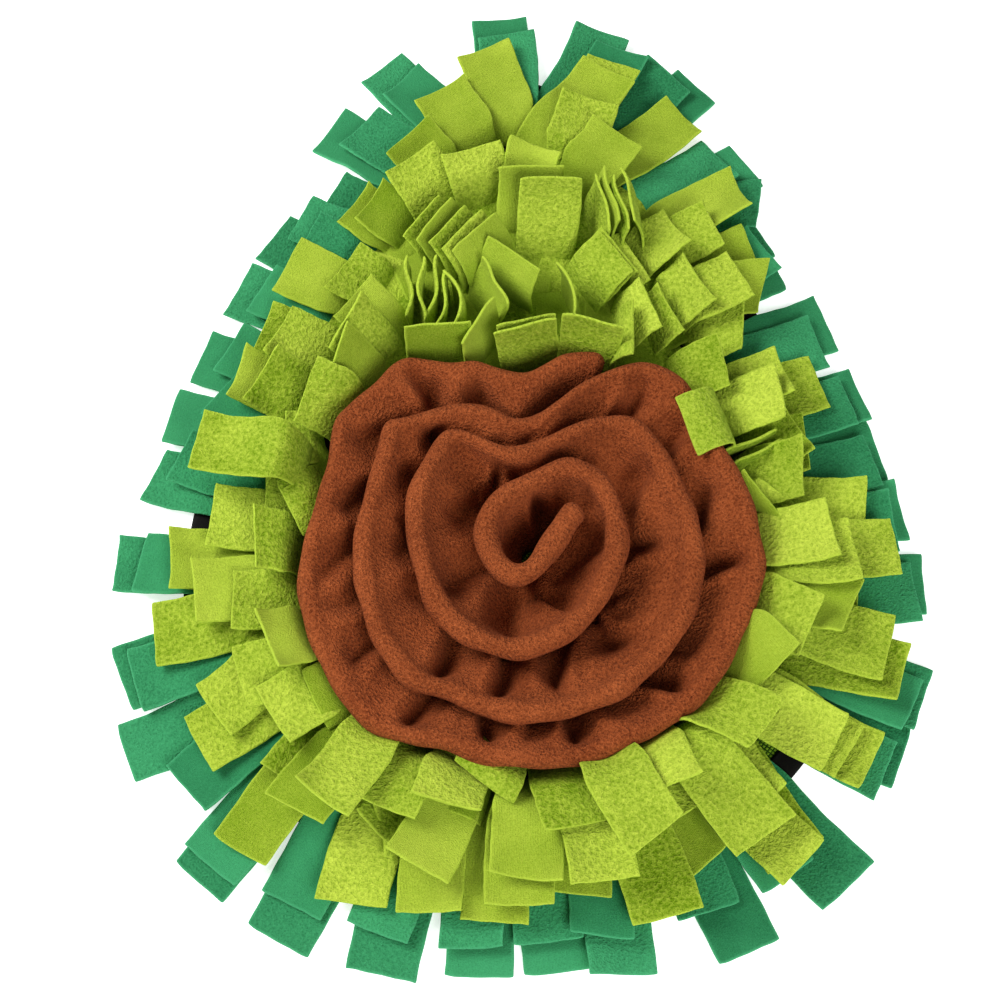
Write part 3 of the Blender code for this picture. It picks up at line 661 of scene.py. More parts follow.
def finish_row(name, parts, material):
    """One length of fringe from its locks, standing for the frame's solid of that name."""
    made = make_piece(name + "_locks", np.concatenate(parts["points"]),
                      np.concatenate(parts["faces"]), material, np.concatenate(parts["cloth"]),
                      np.concatenate(parts["tone"]))
    smooth = made.modifiers.new("soft", "SUBSURF")
    smooth.levels = 1
    smooth.render_levels = 1
    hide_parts(name)


def new_parts():
    """The locks of one length of fringe, before any is added."""
    return {"points": [], "faces": [], "cloth": [], "tone": [], "count": 0, "long": 0.0}


def row_roots(name, locks, root_width):
    """Where each lock of a round is rooted: behind its cut end, and facing it squarely."""
    loop, length = egg_loop(ROW_INSETS[name], ROUND_STEPS)
    step = length / len(loop)
    tangent = np.roll(loop, -ROUND_SIGHT, axis=0) - np.roll(loop, ROUND_SIGHT, axis=0)
    tangent /= np.linalg.norm(tangent, axis=1)[:, None]
    outward = np.column_stack((-tangent[:, 1], tangent[:, 0]))
    wanted = []
    for x, y, heading in locks:
        run = np.array((x, y), float) - loop
        reach = np.linalg.norm(run, axis=1)
        run /= reach[:, None]
        cost = ((reach - USUAL_REACH) / REACH_SLACK) ** 2
        cost += SQUARE_WEIGHT * (1.0 - (run * outward).sum(axis=1))
        cost += 1.0 - run @ heading_of(heading)
        wanted.append(float(np.argmin(cost)) * step)
    for i in range(1, len(wanted)):
        while wanted[i] < wanted[i - 1] - length / 2:
            wanted[i] += length
        wanted[i] = max(wanted[i], wanted[i - 1] + 1.0)
    places = np.sort(np.array(wanted))
    least = min(root_width + ROOT_ROOM, length / len(locks))
    for _ in range(ROOM_ROUNDS):
        for i in range(len(places)):
            j = (i + 1) % len(places)
            room = (places[j] - places[i] + length / 2) % length - length / 2
            if room < least:
                push = (least - room) / 2
                places[i] -= push
                places[j] += push
    return loop, step, places


def lay_round(name, locks, heap, material, root_width, bend, liveliness, standing=None):
    """A whole round of locks, every second one first, and parted into its sewn lengths."""
    loop, step, places = row_roots(name, locks, root_width)
    chance = np.random.RandomState(sum(map(ord, name)))
    laid = []
    ordered = list(zip(locks, places))
    for (x, y, heading), place in ordered[::2] + ordered[1::2]:
        index = int(round(place / step)) % len(loop)
        along_row = loop[(index + ROUND_SIGHT) % len(loop)] - loop[index - ROUND_SIGHT]
        plan, reach = lock_plan(loop[index], along_row, np.array((x, y), float), heading,
                                root_width + ROOT_LAP)
        least = np.full(plan.shape[:2], FLEECE / 2)
        least[1:3] = bend
        height = rest_on(heap, plan, reach, least) + curl(chance, liveliness)
        middle = np.concatenate((plan, height[..., None]), axis=2)
        heap.lay_lock(middle)
        laid.append((place, read_grid(middle, READ_ROWS, READ_COLUMNS)))
    laid.sort(key=lambda item: item[0])
    per_length = len(laid) / ROUND_LENGTHS
    for k in range(ROUND_LENGTHS):
        parts = new_parts()
        own = laid[round(k * per_length):round((k + 1) * per_length)]
        for number, (_, middle) in enumerate(own):
            add_lock(parts, middle, number, chance)
        for number, lock in enumerate((standing or {}).get(k + 1, ())):
            add_lock(parts, standing_middle(*lock, chance), number + STANDING_FROM, chance)
        finish_row(f"fringe_{name}_{k + 1}", parts, material)


def make_fleece(name, shaded_pits, lit_tops, edge, nap_scale, nap_depth, contrast, sheen):
    """Brushed fleece: clumps of nap over a fine fuzz, with paler cut edges. Its colour is painted
    shade where the nap dips and painted highlight on the tops of its clumps. Some locks lie with
    their smoother back upwards, where the knitting shows as fine lines."""
    mid = [(a + b) / 2 for a, b in zip(shaded_pits, lit_tops)]
    material, shader = new_material(name, mid, 0.95, sheen)
    links = material.node_tree.links
    place = add_node(material, "ShaderNodeTexCoord", (-1800, 0))
    tone = add_node(material, "ShaderNodeAttribute", (-1800, 400), attribute_name="tone")
    parts = add_node(material, "ShaderNodeSeparateColor", (-1600, 400))
    links.new(tone.outputs["Color"], parts.inputs["Color"])
    flat = add_node(material, "ShaderNodeUVMap", (-1800, -300), uv_map="cloth")
    clumps = add_node(material, "ShaderNodeTexNoise", (-1500, 100), Scale=nap_scale,
                      Detail=1.5, Roughness=0.5)
    fuzz = add_node(material, "ShaderNodeTexNoise", (-1500, -100), Scale=FUZZ_SCALE, Detail=1.0,
                    Roughness=0.7)
    patches = add_node(material, "ShaderNodeTexNoise", (-1500, 300), Scale=PATCH_SCALE, Detail=2.0)
    for node in (clumps, fuzz, patches):
        links.new(place.outputs["Object"], node.inputs["Vector"])
    knit = add_node(material, "ShaderNodeTexWave", (-1500, -350), Scale=KNIT_SCALE,
                    Distortion=0.8, Detail=1.0)
    links.new(flat.outputs["UV"], knit.inputs["Vector"])
    backs = add_node(material, "ShaderNodeMath", (-1300, 450), operation="GREATER_THAN")
    links.new(parts.outputs["Blue"], backs.inputs[0])
    backs.inputs[1].default_value = FACE_UP_SHARE
    softer = add_node(material, "ShaderNodeMapRange", (-1300, -350))
    softer.inputs["To Min"].default_value = 0.5 - KNIT_RELIEF
    softer.inputs["To Max"].default_value = 0.5 + KNIT_RELIEF
    links.new(knit.outputs["Color"], softer.inputs["Value"])
    nap = add_node(material, "ShaderNodeMix", (-1100, 50))
    links.new(backs.outputs[0], nap.inputs["Factor"])
    links.new(clumps.outputs["Fac"], nap.inputs["A"])
    links.new(softer.outputs["Result"], nap.inputs["B"])
    #   every share is of how far that pattern strays from its middle, 0.5
    strays = ((contrast, nap.outputs["Result"]), (FUZZ_SHADE, fuzz.outputs["Fac"]),
              (PATCH_SHADE, patches.outputs["Fac"]), (LOCK_SHADE, parts.outputs["Red"]))
    total = 0.5 - sum(share for share, _ in strays) / 2
    for number, (share, source) in enumerate(strays):
        stray = add_node(material, "ShaderNodeMath", (-900, 400 - 150 * number),
                         operation="MULTIPLY_ADD")
        links.new(source, stray.inputs[0])
        stray.inputs[1].default_value = share
        if number == 0:
            stray.inputs[2].default_value = total
        else:
            links.new(total, stray.inputs[2])
        total = stray.outputs[0]
    # the ramp's dark end is painted shade in the nap's hollows, its light end painted highlight on
    # the clump tops; fuzz, patches and each lock's tone move along it too
    ramp = two_colours(material, total, shaded_pits, lit_tops, (-500, 300))
    edges = add_node(material, "ShaderNodeMix", (-200, 300), data_type="RGBA")
    links.new(parts.outputs["Green"], edges.inputs["Factor"])
    links.new(ramp.outputs["Color"], edges.inputs[6])
    edges.inputs[7].default_value = (*edge, 1.0)
    links.new(edges.outputs[2], shader.inputs["Base Color"])
    heights = add_node(material, "ShaderNodeMath", (-700, -200), operation="MULTIPLY_ADD")
    links.new(fuzz.outputs["Fac"], heights.inputs[0])
    heights.inputs[1].default_value = FUZZ_RELIEF
    links.new(nap.outputs["Result"], heights.inputs[2])
    add_bump(material, shader, heights.outputs[0], 1.0, nap_depth, (-400, -200))
    return material


def lay_base(heap):
    """The panel and its binding are the floor of everything sewn to them."""
    wide, long = HEAP_SIZE
    x, y = np.meshgrid(np.arange(wide) + HEAP_CORNER[0], np.arange(long) + HEAP_CORNER[1])
    reach = HALF_LENGTH + EDGE_CLEARANCE
    sine = np.clip(y / reach, -1.0, 1.0)
    half = (HALF_WIDTH + EDGE_CLEARANCE) * np.sqrt(1.0 - sine ** 2) * (1.0 - EGG_TAPER * sine)
    inside = (np.abs(x) <= half) & (np.abs(y) <= reach)
    heap.lay(np.column_stack((x[inside], y[inside])), BINDING_THICK)


# the first colour is painted shade in the nap's hollows, the second painted highlight on its clump
# tops
dark_fleece = make_fleece("dark_fleece", shaded_pits=(0.022, 0.170, 0.070), lit_tops=(0.075, 0.390, 0.175),
                          edge=(0.085, 0.40, 0.19), nap_scale=780.0, nap_depth=0.0009,
                          contrast=0.9, sheen=0.2)
heap = Heap()
lay_base(heap)
lay_round("dark_lower", DARK_LOWER, heap, dark_fleece, root_width=20.0, bend=5.0,
          liveliness=0.5)
lay_round("dark_upper", DARK_UPPER, heap, dark_fleece, root_width=20.0, bend=6.0,
          liveliness=0.6)

# ---------------------------------------------------------------- light locks
# Three rounds of light green fleece over the dark ones. They crowd each other, so they stand off
# the base, curl and overlap, the inner rounds highest.
LIGHT_OUTER = (
    (-19, 239, 115), (54, 229, 65), (92, 196, 40), (119, 143, 15), (124, 108, 20),
    (128, 84, -30), (155, 32, 15), (145, -5, 0), (172, -42, 0),
    (185, -62, 15), (165, -92, 5), (177, -114, -15), (184, -125, -25), (166, -168, -30),
    (128, -212, -55), (130, -216, -50), (83, -218, -45), (67, -240, -85), (26, -230, -100),
    (-1, -236, -90), (-12, -242, -100), (-42, -238, -90), (-78, -233, -90), (-131, -209, -115),
    (-153, -159, -145), (-178, -104, -175), (-172, -66, -175),
    (-144, 34, 160), (-133, 63, 160), (-122, 98, 160), (-88, 135, 150), (-60, 178, 125),
    (-43, 210, 120),
)
LIGHT_MIDDLE = (
    (51, 220, 60), (40, 198, 75), (103, 118, 15), (115, 85, 25), (116, 61, -20),
    (135, 32, 15), (140, 1, 35), (162, -68, 15), (159, -96, -30), (155, -164, -30),
    (110, -190, -50), (112, -205, -55), (81, -191, -70), (38, -226, -85), (2, -225, -100),
    (-47, -220, -125), (-65, -204, -145), (-104, -193, -105), (-109, -178, -130),
    (-133, -130, -160), (-146, -144, -145), (-158, -85, -175), (-153, -44, 175),
    (-131, 30, 145), (-124, 57, 160), (-79, 135, 150),
)
LIGHT_INNER = (
    (54, 175, 65), (83, 113, 20), (93, 82, 30),
    (131, 17, 5), (140, -23, -5), (151, -58, 15), (138, -107, -18), (119, -129, -48),
    (148, -161, -25), (114, -156, -45), (67, -185, -75), (61, -208, -50), (26, -202, -80),
    (-34, -192, -95), (-62, -194, -105), (-90, -192, -130),
    (-116, -150, -145), (-119, -115, -155), (-139, -90, 175),
    (-129, -60, -165), (-126, -36, -170), (-160, -10, 165),
    (-118, -4, 170),
    (-92, 96, 145),
)

#   locks round the rose that stand, twist or turn up their ends: number of the inner row's length:
#   ((root), (a corner of the cut end), (the other), end angle, cup, wave)
LIGHT_STANDING = {
    2: (
        ((117, -4), (102, -17, 34), (129, -2, 26), 80, 0, 0.6),
        ((120, -14), (105, -22, 32), (133, -4, 24), 80, 0, 0.8),
        ((116, -38), (109, -26, 34), (130, -49, 28), 30, 1, 0.6),
        ((126, -37), (121, -28, 26), (142, -44, 20), 25, 0, 0.4),
        ((109, -105), (110, -98, 36), (126, -117, 28), 60, 0, 2.4),
    ),
    4: (
        ((20, -155), (4, -181, 19), (36, -177, 19), 55, 1, 0.6),
        ((-25, -157), (-47, -188, 26), (-17, -199, 20), 5, 2, 2.6),
        ((-10, -158), (-29, -174, 32), (-6, -189, 29), -20, 2, 0.4),
    ),
    5: (((-57, -169), (-67, -186, 26), (-62, -211, 18), 70, 0, 1.0),),
    6: (
        ((-82, -129), (-105, -127, 30), (-89, -156, 27), 15, 1, 0.5),
        ((-93, -27), (-118, -35, 30), (-108, -54, 26), 10, 2, 0.3),
        ((-98, -4), (-121, -25, 16), (-108, -50, 14), -10, 1, 0.5),
    ),
}
STANDING_ROOT_WIDTH = 27.0
STANDING_FROM = 20          # the number of a length's first standing lock
STANDING_OPENS = 0.45       # share of a lock's length over which its root opens to its width
BEND_HANDLE = 0.4           # how far its two bends reach, as a share of its length


def bend_through(start, first, last, end, t):
    """Places along a bend from start to end, drawn towards two points between."""
    path = (1 - t) ** 3 * start + 3 * t * (1 - t) ** 2 * first + 3 * t * t * (1 - t) * last
    return path + t ** 3 * end


def standing_middle(root, left, right, end_angle, cup, wave, chance):
    """The middle of a lock that rises from its root and turns to meet its cut end."""
    left, right = np.array(left, float), np.array(right, float)
    start = np.array((*root, ROOT_HEIGHT))
    tip = (left + right) / 2
    side_end = unit(right - left) * LOCK_WIDTH / 2
    plan_out = np.array((-side_end[1], side_end[0], 0.0))
    if plan_out @ (tip - start) < 0:
        plan_out = -plan_out
    rise = math.radians(end_angle)
    ending = unit(plan_out) * math.cos(rise) + np.array((0.0, 0.0, math.sin(rise)))
    reach = float(np.linalg.norm(tip - start))
    first = start + np.array((0.0, 0.0, reach * BEND_HANDLE))
    last = tip - ending * reach * BEND_HANDLE
    path = bend_through(start, first, last, tip, ALONG[:, None])
    opened = ease(ALONG[:, None] / STANDING_OPENS)
    side_root = unit(np.array((side_end[0], side_end[1], 0.0))) * STANDING_ROOT_WIDTH / 2
    side = side_root * (1 - opened) + side_end * opened
    spread = (2 * ACROSS - 1)[None, :]
    middle = path[:, None, :] + side[:, None, :] * spread[..., None]
    t = ALONG[:, None]
    #   cupped across its width, with one wave across it and another along it
    bow = cup * (spread ** 2 - 0.4) * t
    bow = bow + wave * np.sin(math.tau * (1.15 * ACROSS[None, :] + chance.uniform())) * t ** 1.5
    bow = bow + 0.8 * np.sin(math.tau * (t * 1.3 + chance.uniform())) * t
    return middle + face_directions(middle) * bow[..., None]


# the first colour is painted shade in the nap's hollows, the second painted highlight on its clump
# tops
light_fleece = make_fleece("light_fleece", shaded_pits=(0.150, 0.262, 0.003), lit_tops=(0.605, 0.735, 0.100),
                           edge=(0.48, 0.625, 0.070), nap_scale=560.0, nap_depth=0.0014,
                           contrast=1.05, sheen=0.2)
lay_round("light_outer", LIGHT_OUTER, heap, light_fleece, root_width=16.0,
          bend=8.0, liveliness=1.05)
lay_round("light_middle", LIGHT_MIDDLE, heap, light_fleece, root_width=18.0,
          bend=9.0, liveliness=1.25)
lay_round("light_inner", LIGHT_INNER, heap, light_fleece, root_width=18.0,
          bend=10.0, liveliness=1.35, standing=LIGHT_STANDING)

# ---------------------------------------------------------------- crown
# Short rows of light locks between the rose and the narrow end. Packed tight, most stand on their
# edges or lean on each other: a fan of five, stacks seen edge-on, curls and upright faces.
#   locks that lean outwards: row: ((root x, root y, tip x, tip y, tip height, heading), ...)
CROWN_LEANING = {
    "crown_top": ((-36, 127, -58, 157, 24, 125), (-15, 134, -25, 158, 30, 108)),
    "crown_left_low": (
        (-60, 50, -85, 70, 30, 140), (-63, 37, -88, 54, 25, 150), (-69, 24, -92, 36, 22, 160),
        (-79, 9, -107, 18, 20, 160),
    ),
    "crown_right_low": (
        (64, 61, 78, 66, 24, 35), (50, 62, 68, 67, 28, 30), (46, 54, 58, 51, 32, 10),
    ),
    "crown_right_rim": ((74, 29, 104, 36, 26, 15),),
}
CROWN_SEED = 11
LEAN_RISE = 1.25            # a leaning lock is at its full height before its end, by this share
DEEP_END_ANGLE = -10.0
DEEP_CUP = 1.0
DEEP_WAVE = 0.6
#   short locks deep down between the others: (root x, root y, tip x, tip y, tip height, heading)
CROWN_DEEP = (
    (-50, 60, -62, 92, 7, 110), (-28, 58, -36, 90, 7, 100), (-4, 58, -6, 92, 7, 90),
    (18, 58, 22, 92, 7, 85), (42, 56, 50, 88, 7, 75), (-56, 84, -84, 98, 7, 150),
    (-44, 84, -56, 110, 9, 120), (-22, 84, -28, 116, 9, 100), (2, 84, 2, 118, 9, 90),
    (24, 84, 30, 116, 9, 80), (46, 84, 60, 110, 9, 60), (-16, 108, -24, 136, 11, 105),
    (8, 108, 8, 140, 11, 90), (30, 108, 40, 136, 11, 70), (-5, 40, -20, 64, 9, 120),
    (20, 38, 30, 62, 9, 70), (56, 36, 66, 60, 9, 60), (-72, 62, -94, 78, 7, 150),
    (62, 42, 86, 52, 7, 20), (66, 62, 88, 76, 7, 30),
    (5, 140, 2, 172, 9, 90), (-20, 140, -28, 170, 9, 100), (28, 138, 36, 166, 9, 75),
    (44, 122, 62, 146, 9, 50), (-40, 120, -58, 140, 9, 140), (60, 92, 82, 108, 8, 40),
    (-58, 98, -78, 118, 6, 135),
)
#   locks that stand: row: ((root), (a corner of the cut end), (the other), end angle, cup, wave)
CROWN_STANDING = {
    "crown_top": (((10, 138), (-5, 167, 33), (26, 152, 38), 10, 7, 0),),
    "crown_right_high": (
        ((50, 94), (53, 112, 26), (69, 84, 26), 20, 1, 0),
        ((36, 88), (43, 112, 32), (63, 85, 32), 25, 2, 0),
        ((33, 84), (41, 110, 35), (61, 82, 35), 25, 2, 0),
    ),
    "crown_left_fan": (
        ((-39, 107), (-42, 133, 30), (-60, 108, 30), 35, 0, 0),
        ((-32, 104), (-36, 130, 33), (-54, 104, 33), 35, 0, 0),
        ((-26, 100), (-27, 124, 36), (-47, 99, 36), 35, 0, 0),
        ((-19, 96), (-19, 119, 39), (-40, 95, 39), 35, 0, 0),
        ((-12, 93), (-11, 115, 42), (-35, 93, 42), 40, 1, 0),
    ),
    "crown_left_plates": (
        ((-56, 76), (-56, 93, 37), (-55, 62, 28), 85, 0, 2.2),
        ((-50, 74), (-51, 91, 40), (-50, 61, 28), 85, 0, 2.4),
        ((-43, 72), (-40, 90, 40), (-45, 60, 28), 85, 0, 2.2),
        ((-38, 67), (-37, 82, 40), (-41, 54, 30), 85, 2, 1.6),
    ),
    "crown_right_plates": (
        ((38, 118), (41, 139, 40), (48, 108, 37), 85, 0, 1.0),
        ((43, 118), (44, 143, 41), (52, 112, 39), 85, 0, 1.2),
        ((49, 116), (49, 136, 42), (57, 107, 40), 85, 0, 1.2),
        ((64, 116), (55, 143, 42), (61, 111, 40), 70, 2, 0.8),
    ),
    "crown_back": (
        ((4, 118), (-9, 144, 40), (23, 145, 40), 60, 1, 0),
        ((14, 103), (2, 133, 46), (32, 133, 46), 65, 1, 0),
    ),
    "crown_middle": (
        ((-4, 81), (-16, 102, 42), (12, 80, 42), 40, 1, 0),
        ((-20, 70), (-19, 90, 40), (-5, 62, 40), 80, 3, 2.0),
        ((-30, 64), (-33, 79, 40), (-30, 54, 38), 80, 8, 0),
        ((28, 72), (22, 88, 40), (31, 58, 38), 80, 4, 0),
    ),
    "crown_front": (
        ((-41, 38), (-55, 49, 42), (-27, 51, 42), 70, 1, 0.6),
        ((-18, 44), (-30, 40, 40), (-13, 66, 43), 75, 2, 0.8),
        ((6, 48), (-12, 49, 41), (19, 57, 41), 70, 1, 0.6),
        ((7, 40), (-13, 44, 44), (19, 53, 44), 70, 1, 0.6),
        ((34, 38), (22, 55, 44), (53, 48, 44), 70, 1, 0.6),
    ),
}


def lean_lock(heap, chance, root_x, root_y, tip_x, tip_y, top, heading):
    """The middle of a lock that rises from its root and leans on the locks beside it."""
    plan, reach = lock_plan(np.array((root_x, root_y), float), heading_of(heading + 90),
                            np.array((tip_x, tip_y), float), heading, STANDING_ROOT_WIDTH)
    rise = np.clip(np.linspace(0, LEAN_RISE, LOCK_ROWS + 1), 0, 1)
    rise = top * (1 - (1 - rise) ** 2)
    least = np.repeat(np.maximum(rise, ROOT_HEIGHT)[:, None], LOCK_COLUMNS + 1, axis=1)
    height = rest_on(heap, plan, reach, least) + curl(chance, 1.0)
    middle = np.concatenate((plan, height[..., None]), axis=2)
    heap.lay_lock(middle)
    return read_grid(middle, READ_ROWS, READ_COLUMNS)


def deep_lock(chance, root_x, root_y, tip_x, tip_y, top, heading):
    """The middle of a short lock that lies low between taller ones."""
    tip = np.array((tip_x, tip_y, top), float)
    half = np.array((*heading_of(heading + 90), 0.0)) * LOCK_WIDTH / 2
    return standing_middle((root_x, root_y), tip + half, tip - half, DEEP_END_ANGLE, DEEP_CUP,
                           DEEP_WAVE, chance)


def make_crown(heap, material):
    """Each short row of the crown: its leaning locks, then its low ones, then those that stand."""
    chance = np.random.RandomState(CROWN_SEED)
    for name in dict.fromkeys((*CROWN_LEANING, *CROWN_STANDING)):
        middles = [lean_lock(heap, chance, *lock) for lock in CROWN_LEANING.get(name, ())]
        if name == "crown_middle":
            middles += [deep_lock(chance, *lock) for lock in CROWN_DEEP]
        middles += [standing_middle(*lock, chance) for lock in CROWN_STANDING.get(name, ())]
        parts = new_parts()
        for number, middle in enumerate(middles):
            add_lock(parts, middle, number, chance)
        finish_row("fringe_" + name, parts, material)


make_crown(heap, light_fleece)

# ---------------------------------------------------------------- rose
# One long band of brown fleece, folded double along its length and wound outwards from a loose
# inner end. It is gathered along its raw edges, where it is sewn down, so each turn leans out from
# under the turn inside it, creases at its foot, and ends in a soft, full rolled crest.
BROWN_FLEECE = 1.8
ROSE_CENTRE = np.array((6.0, -68.0))
ROSE_FOOT = 2.9
CREST_INNER = 46.0
CREST_OUTER = 35.0
CREST_FALL = 1.5             # the crest falls slowly at first, and faster in the outer turns
CREST_ROLL = 5.0
INNER_ROLL = 0.8             # how much fuller the crest is at the inner end
#   waves of the crest's height and of its fullness: size, length over 2 pi, start
CREST_WAVES = ((0.9, 17.0, 0.0), (0.7, 7.3, 1.0))
ROLL_WAVES = ((0.5, 9.0, 0.0), (0.35, 4.1, 2.0))
LEAST_LEAN = (11.0, 19.0)    # how far the band leans out at least, at its start and from turn two
CREST_SOFTENING = 6
LEAN_SOFTENING = 30
OUT_SOFTENING = 20
HEART_TURN = 1.3             # up to here the band leans squarely to its own run
HEART_BLEND = 0.9            # turns until it leans straight away from the centre
#   how far each turn's foot lies in under the crest inside it: turn, distance
ROSE_TUCK = ((2.0, 11.0), (2.7, 10.0), (3.1, 5.0))
#   how high each turn comes out from under the turn inside it: turn, share of the room there
ROSE_SHOULDER = ((1.0, 0.4), (2.0, 0.22), (2.8, 0.32), (3.2, 0.62), (4.0, 0.72), (5.0, 0.78))
ROSE_NECK = 4.5
CREASE_DEPTH = 1.05
CREASE_PULL = 0.6            # how far the band's back follows a crease on its face
ROSE_STEPS = 1150
ROSE_PATTERN = 110.0         # width over both skins on which the nap's pattern lies
LEAST_LEVEL = 2.3
#   the crest's path in plan, from the loose inner end outwards
ROSE_CREST = (
    (29, -49), (26, -52), (23, -56), (20, -61), (16, -67), (12, -73), (8, -79), (3, -83),
    (-2, -84), (-7, -82), (-12, -76), (-15, -68), (-16, -60), (-14, -52), (-10, -46), (-3, -41),
    (5, -37), (14, -32), (22, -29), (30, -31), (38, -36), (43, -46), (46, -57),
    (46, -72), (41, -85), (34, -99), (23, -110), (11, -117), (-3, -120), (-16, -117), (-28, -110),
    (-38, -99), (-44, -85), (-48, -70), (-50, -55), (-48, -39), (-42, -25), (-35, -13),
    (-27, -12), (-17, -17), (-5, -22), (8, -19), (20, -13), (35, -7), (49, -4), (59, -8),
    (66, -19), (72, -31), (78, -45), (82, -59), (83, -77), (80, -92), (75, -107), (67, -118),
    (55, -130), (41, -141), (25, -147), (9, -150), (-7, -149), (-21, -145), (-30, -140),
    (-42, -137), (-50, -133), (-58, -124), (-66, -112), (-71, -97), (-74, -82), (-75, -66),
    (-73, -51), (-69, -35), (-65, -19), (-62, -7), (-54, -4), (-41, 0), (-28, 3), (-14, 1),
    (-2, -4), (8, -3), (18, 4), (28, 12), (40, 20), (53, 25), (63, 26), (73, 22), (82, 14),
    (90, -3), (97, -19), (104, -33), (109, -48), (112, -63), (113, -76), (109, -91), (103, -106),
    (97, -119), (87, -134), (74, -147), (60, -156), (43, -163), (27, -169), (11, -171),
    (-5, -170), (-21, -167), (-35, -162), (-49, -160), (-63, -155), (-74, -147), (-84, -134),
    (-92, -120), (-97, -105), (-101, -90), (-102, -77), (-100, -65), (-95, -46), (-91, -28),
    (-89, -12), (-87, -1), (-80, 7), (-70, 17), (-62, 27), (-54, 32), (-44, 31), (-32, 28),
    (-21, 29), (-10, 25), (3, 23), (13, 27), (23, 33), (36, 35), (43, 33),
)
#   creases: turn counted from the centre, foot end, crest end, bow sideways, depth, width
ROSE_CREASES = (
    (2, (-18, -38), (-37, -45), 2, 7, 5), (2, (-17, -72), (-35, -92), -3, 9, 7),
    (2, (0, -83), (0, -112), -2, 10, 7.5), (2, (12, -90), (28, -99), 0, 5, 3),
    (2, (1, -34), (-25, -14), -2, 9, 4.5), (2, (32, -39), (22, -17), 0, 5, 4),
    (2, (41, -43), (60, -23), 3, 9, 7), (2, (31, -68), (51, -66), 2, 4, 6),
    (3, (-32, -13), (-47, -2), 2, 9, 4), (3, (-46, -30), (-60, -24), 0, 6, 6),
    (3, (-46, -66), (-58, -60), 0, 6, 6), (3, (-40, -87), (-56, -83), 0, 6, 5),
    (3, (-33, -93), (-41, -135), 5, 10, 5), (3, (-9, -110), (-13, -143), 4, 10, 4.5),
    (3, (24, -107), (18, -139), -4, 10, 4), (3, (36, -98), (54, -111), -7, 8, 4.5),
    (3, (42, -73), (66, -62), 3, 9, 4), (3, (20, -16), (35, -2), 0, 5, 5),
    (3, (54, -42), (73, -18), 3, 7, 6), (4, (85, -51), (92, -30), 0, 8, 6),
    (4, (81, -82), (116, -73), 4, 9, 4), (4, (43, -128), (82, -141), 4, 9, 4.5),
    (4, (62, -113), (85, -119), 0, 5, 6), (4, (22, -145), (26, -164), 0, 9, 4),
    (4, (-17, -145), (-14, -162), 0, 9, 4), (4, (4, -148), (4, -162), 0, 4, 4),
    (4, (-42, -135), (-55, -158), 0, 9, 5), (4, (-61, -108), (-79, -125), -3, 8, 4.5),
    (4, (-74, -86), (-92, -99), 0, 3, 5), (4, (-75, -62), (-99, -86), -3, 6, 5),
    (4, (-72, -34), (-88, -46), 0, 6, 6), (4, (-63, -3), (-83, -11), 0, 4, 5),
    (4, (-41, 8), (-60, 32), -3, 9, 5), (4, (-10, 6), (-21, 24), 2, 9, 4.5),
    (4, (-40, 16), (-41, 26), 0, 5, 4), (4, (13, 3), (36, 18), 2, 7, 6),
    (4, (49, 2), (62, 29), -3, 9, 4.5), (4, (70, -14), (87, 3), 0, 8, 6),
)
#   the band's section: share of the way from foot to crest, distance from the middle line
ROSE_BODY = (
    (0.0, 1.6), (0.07, 1.9), (0.14, 2.2), (0.21, 2.5), (0.28, 2.7), (0.35, 2.8), (0.42, 2.9),
    (0.49, 3.0), (0.56, 3.1), (0.63, 3.4), (0.70, 3.8), (0.77, 4.3), (0.84, 4.7), (0.92, 5.0),
)
ROSE_CAP = (0, 18, 36, 54, 72, 90)       # angles round the rolled crest


def soften(line, rounds):
    """Smooth a line of points or values a little more at each round, and leave its ends."""
    for _ in range(rounds):
        line[1:-1] = (line[:-2] + 2 * line[1:-1] + line[2:]) / 4


def waves(table, along):
    """Small waves that run along the band."""
    return sum(size * np.sin(along / long + start) for size, long, start in table)


def smooth_through(points, count):
    """A smooth curve through points, read at evenly spaced lengths."""
    points = np.array(points, float)
    padded = np.vstack((2 * points[0] - points[1], points, 2 * points[-1] - points[-2]))
    t = np.linspace(0.0, 1.0, 12, endpoint=False)[:, None]
    pieces = []
    for i in range(len(points) - 1):
        a, b, c, d = padded[i:i + 4]
        pieces.append(0.5 * (2 * b + (c - a) * t + (2 * a - 5 * b + 4 * c - d) * t ** 2
                             + (3 * b - a - 3 * c + d) * t ** 3))
    fine = np.vstack(pieces + [points[-1:]])
    soften(fine, CREST_SOFTENING)
    along = np.concatenate(([0.0], np.cumsum(np.linalg.norm(np.diff(fine, axis=0), axis=1))))
    wanted = np.linspace(0.0, along[-1], count)
    return np.column_stack([np.interp(wanted, along, fine[:, k]) for k in (0, 1)]), along[-1]


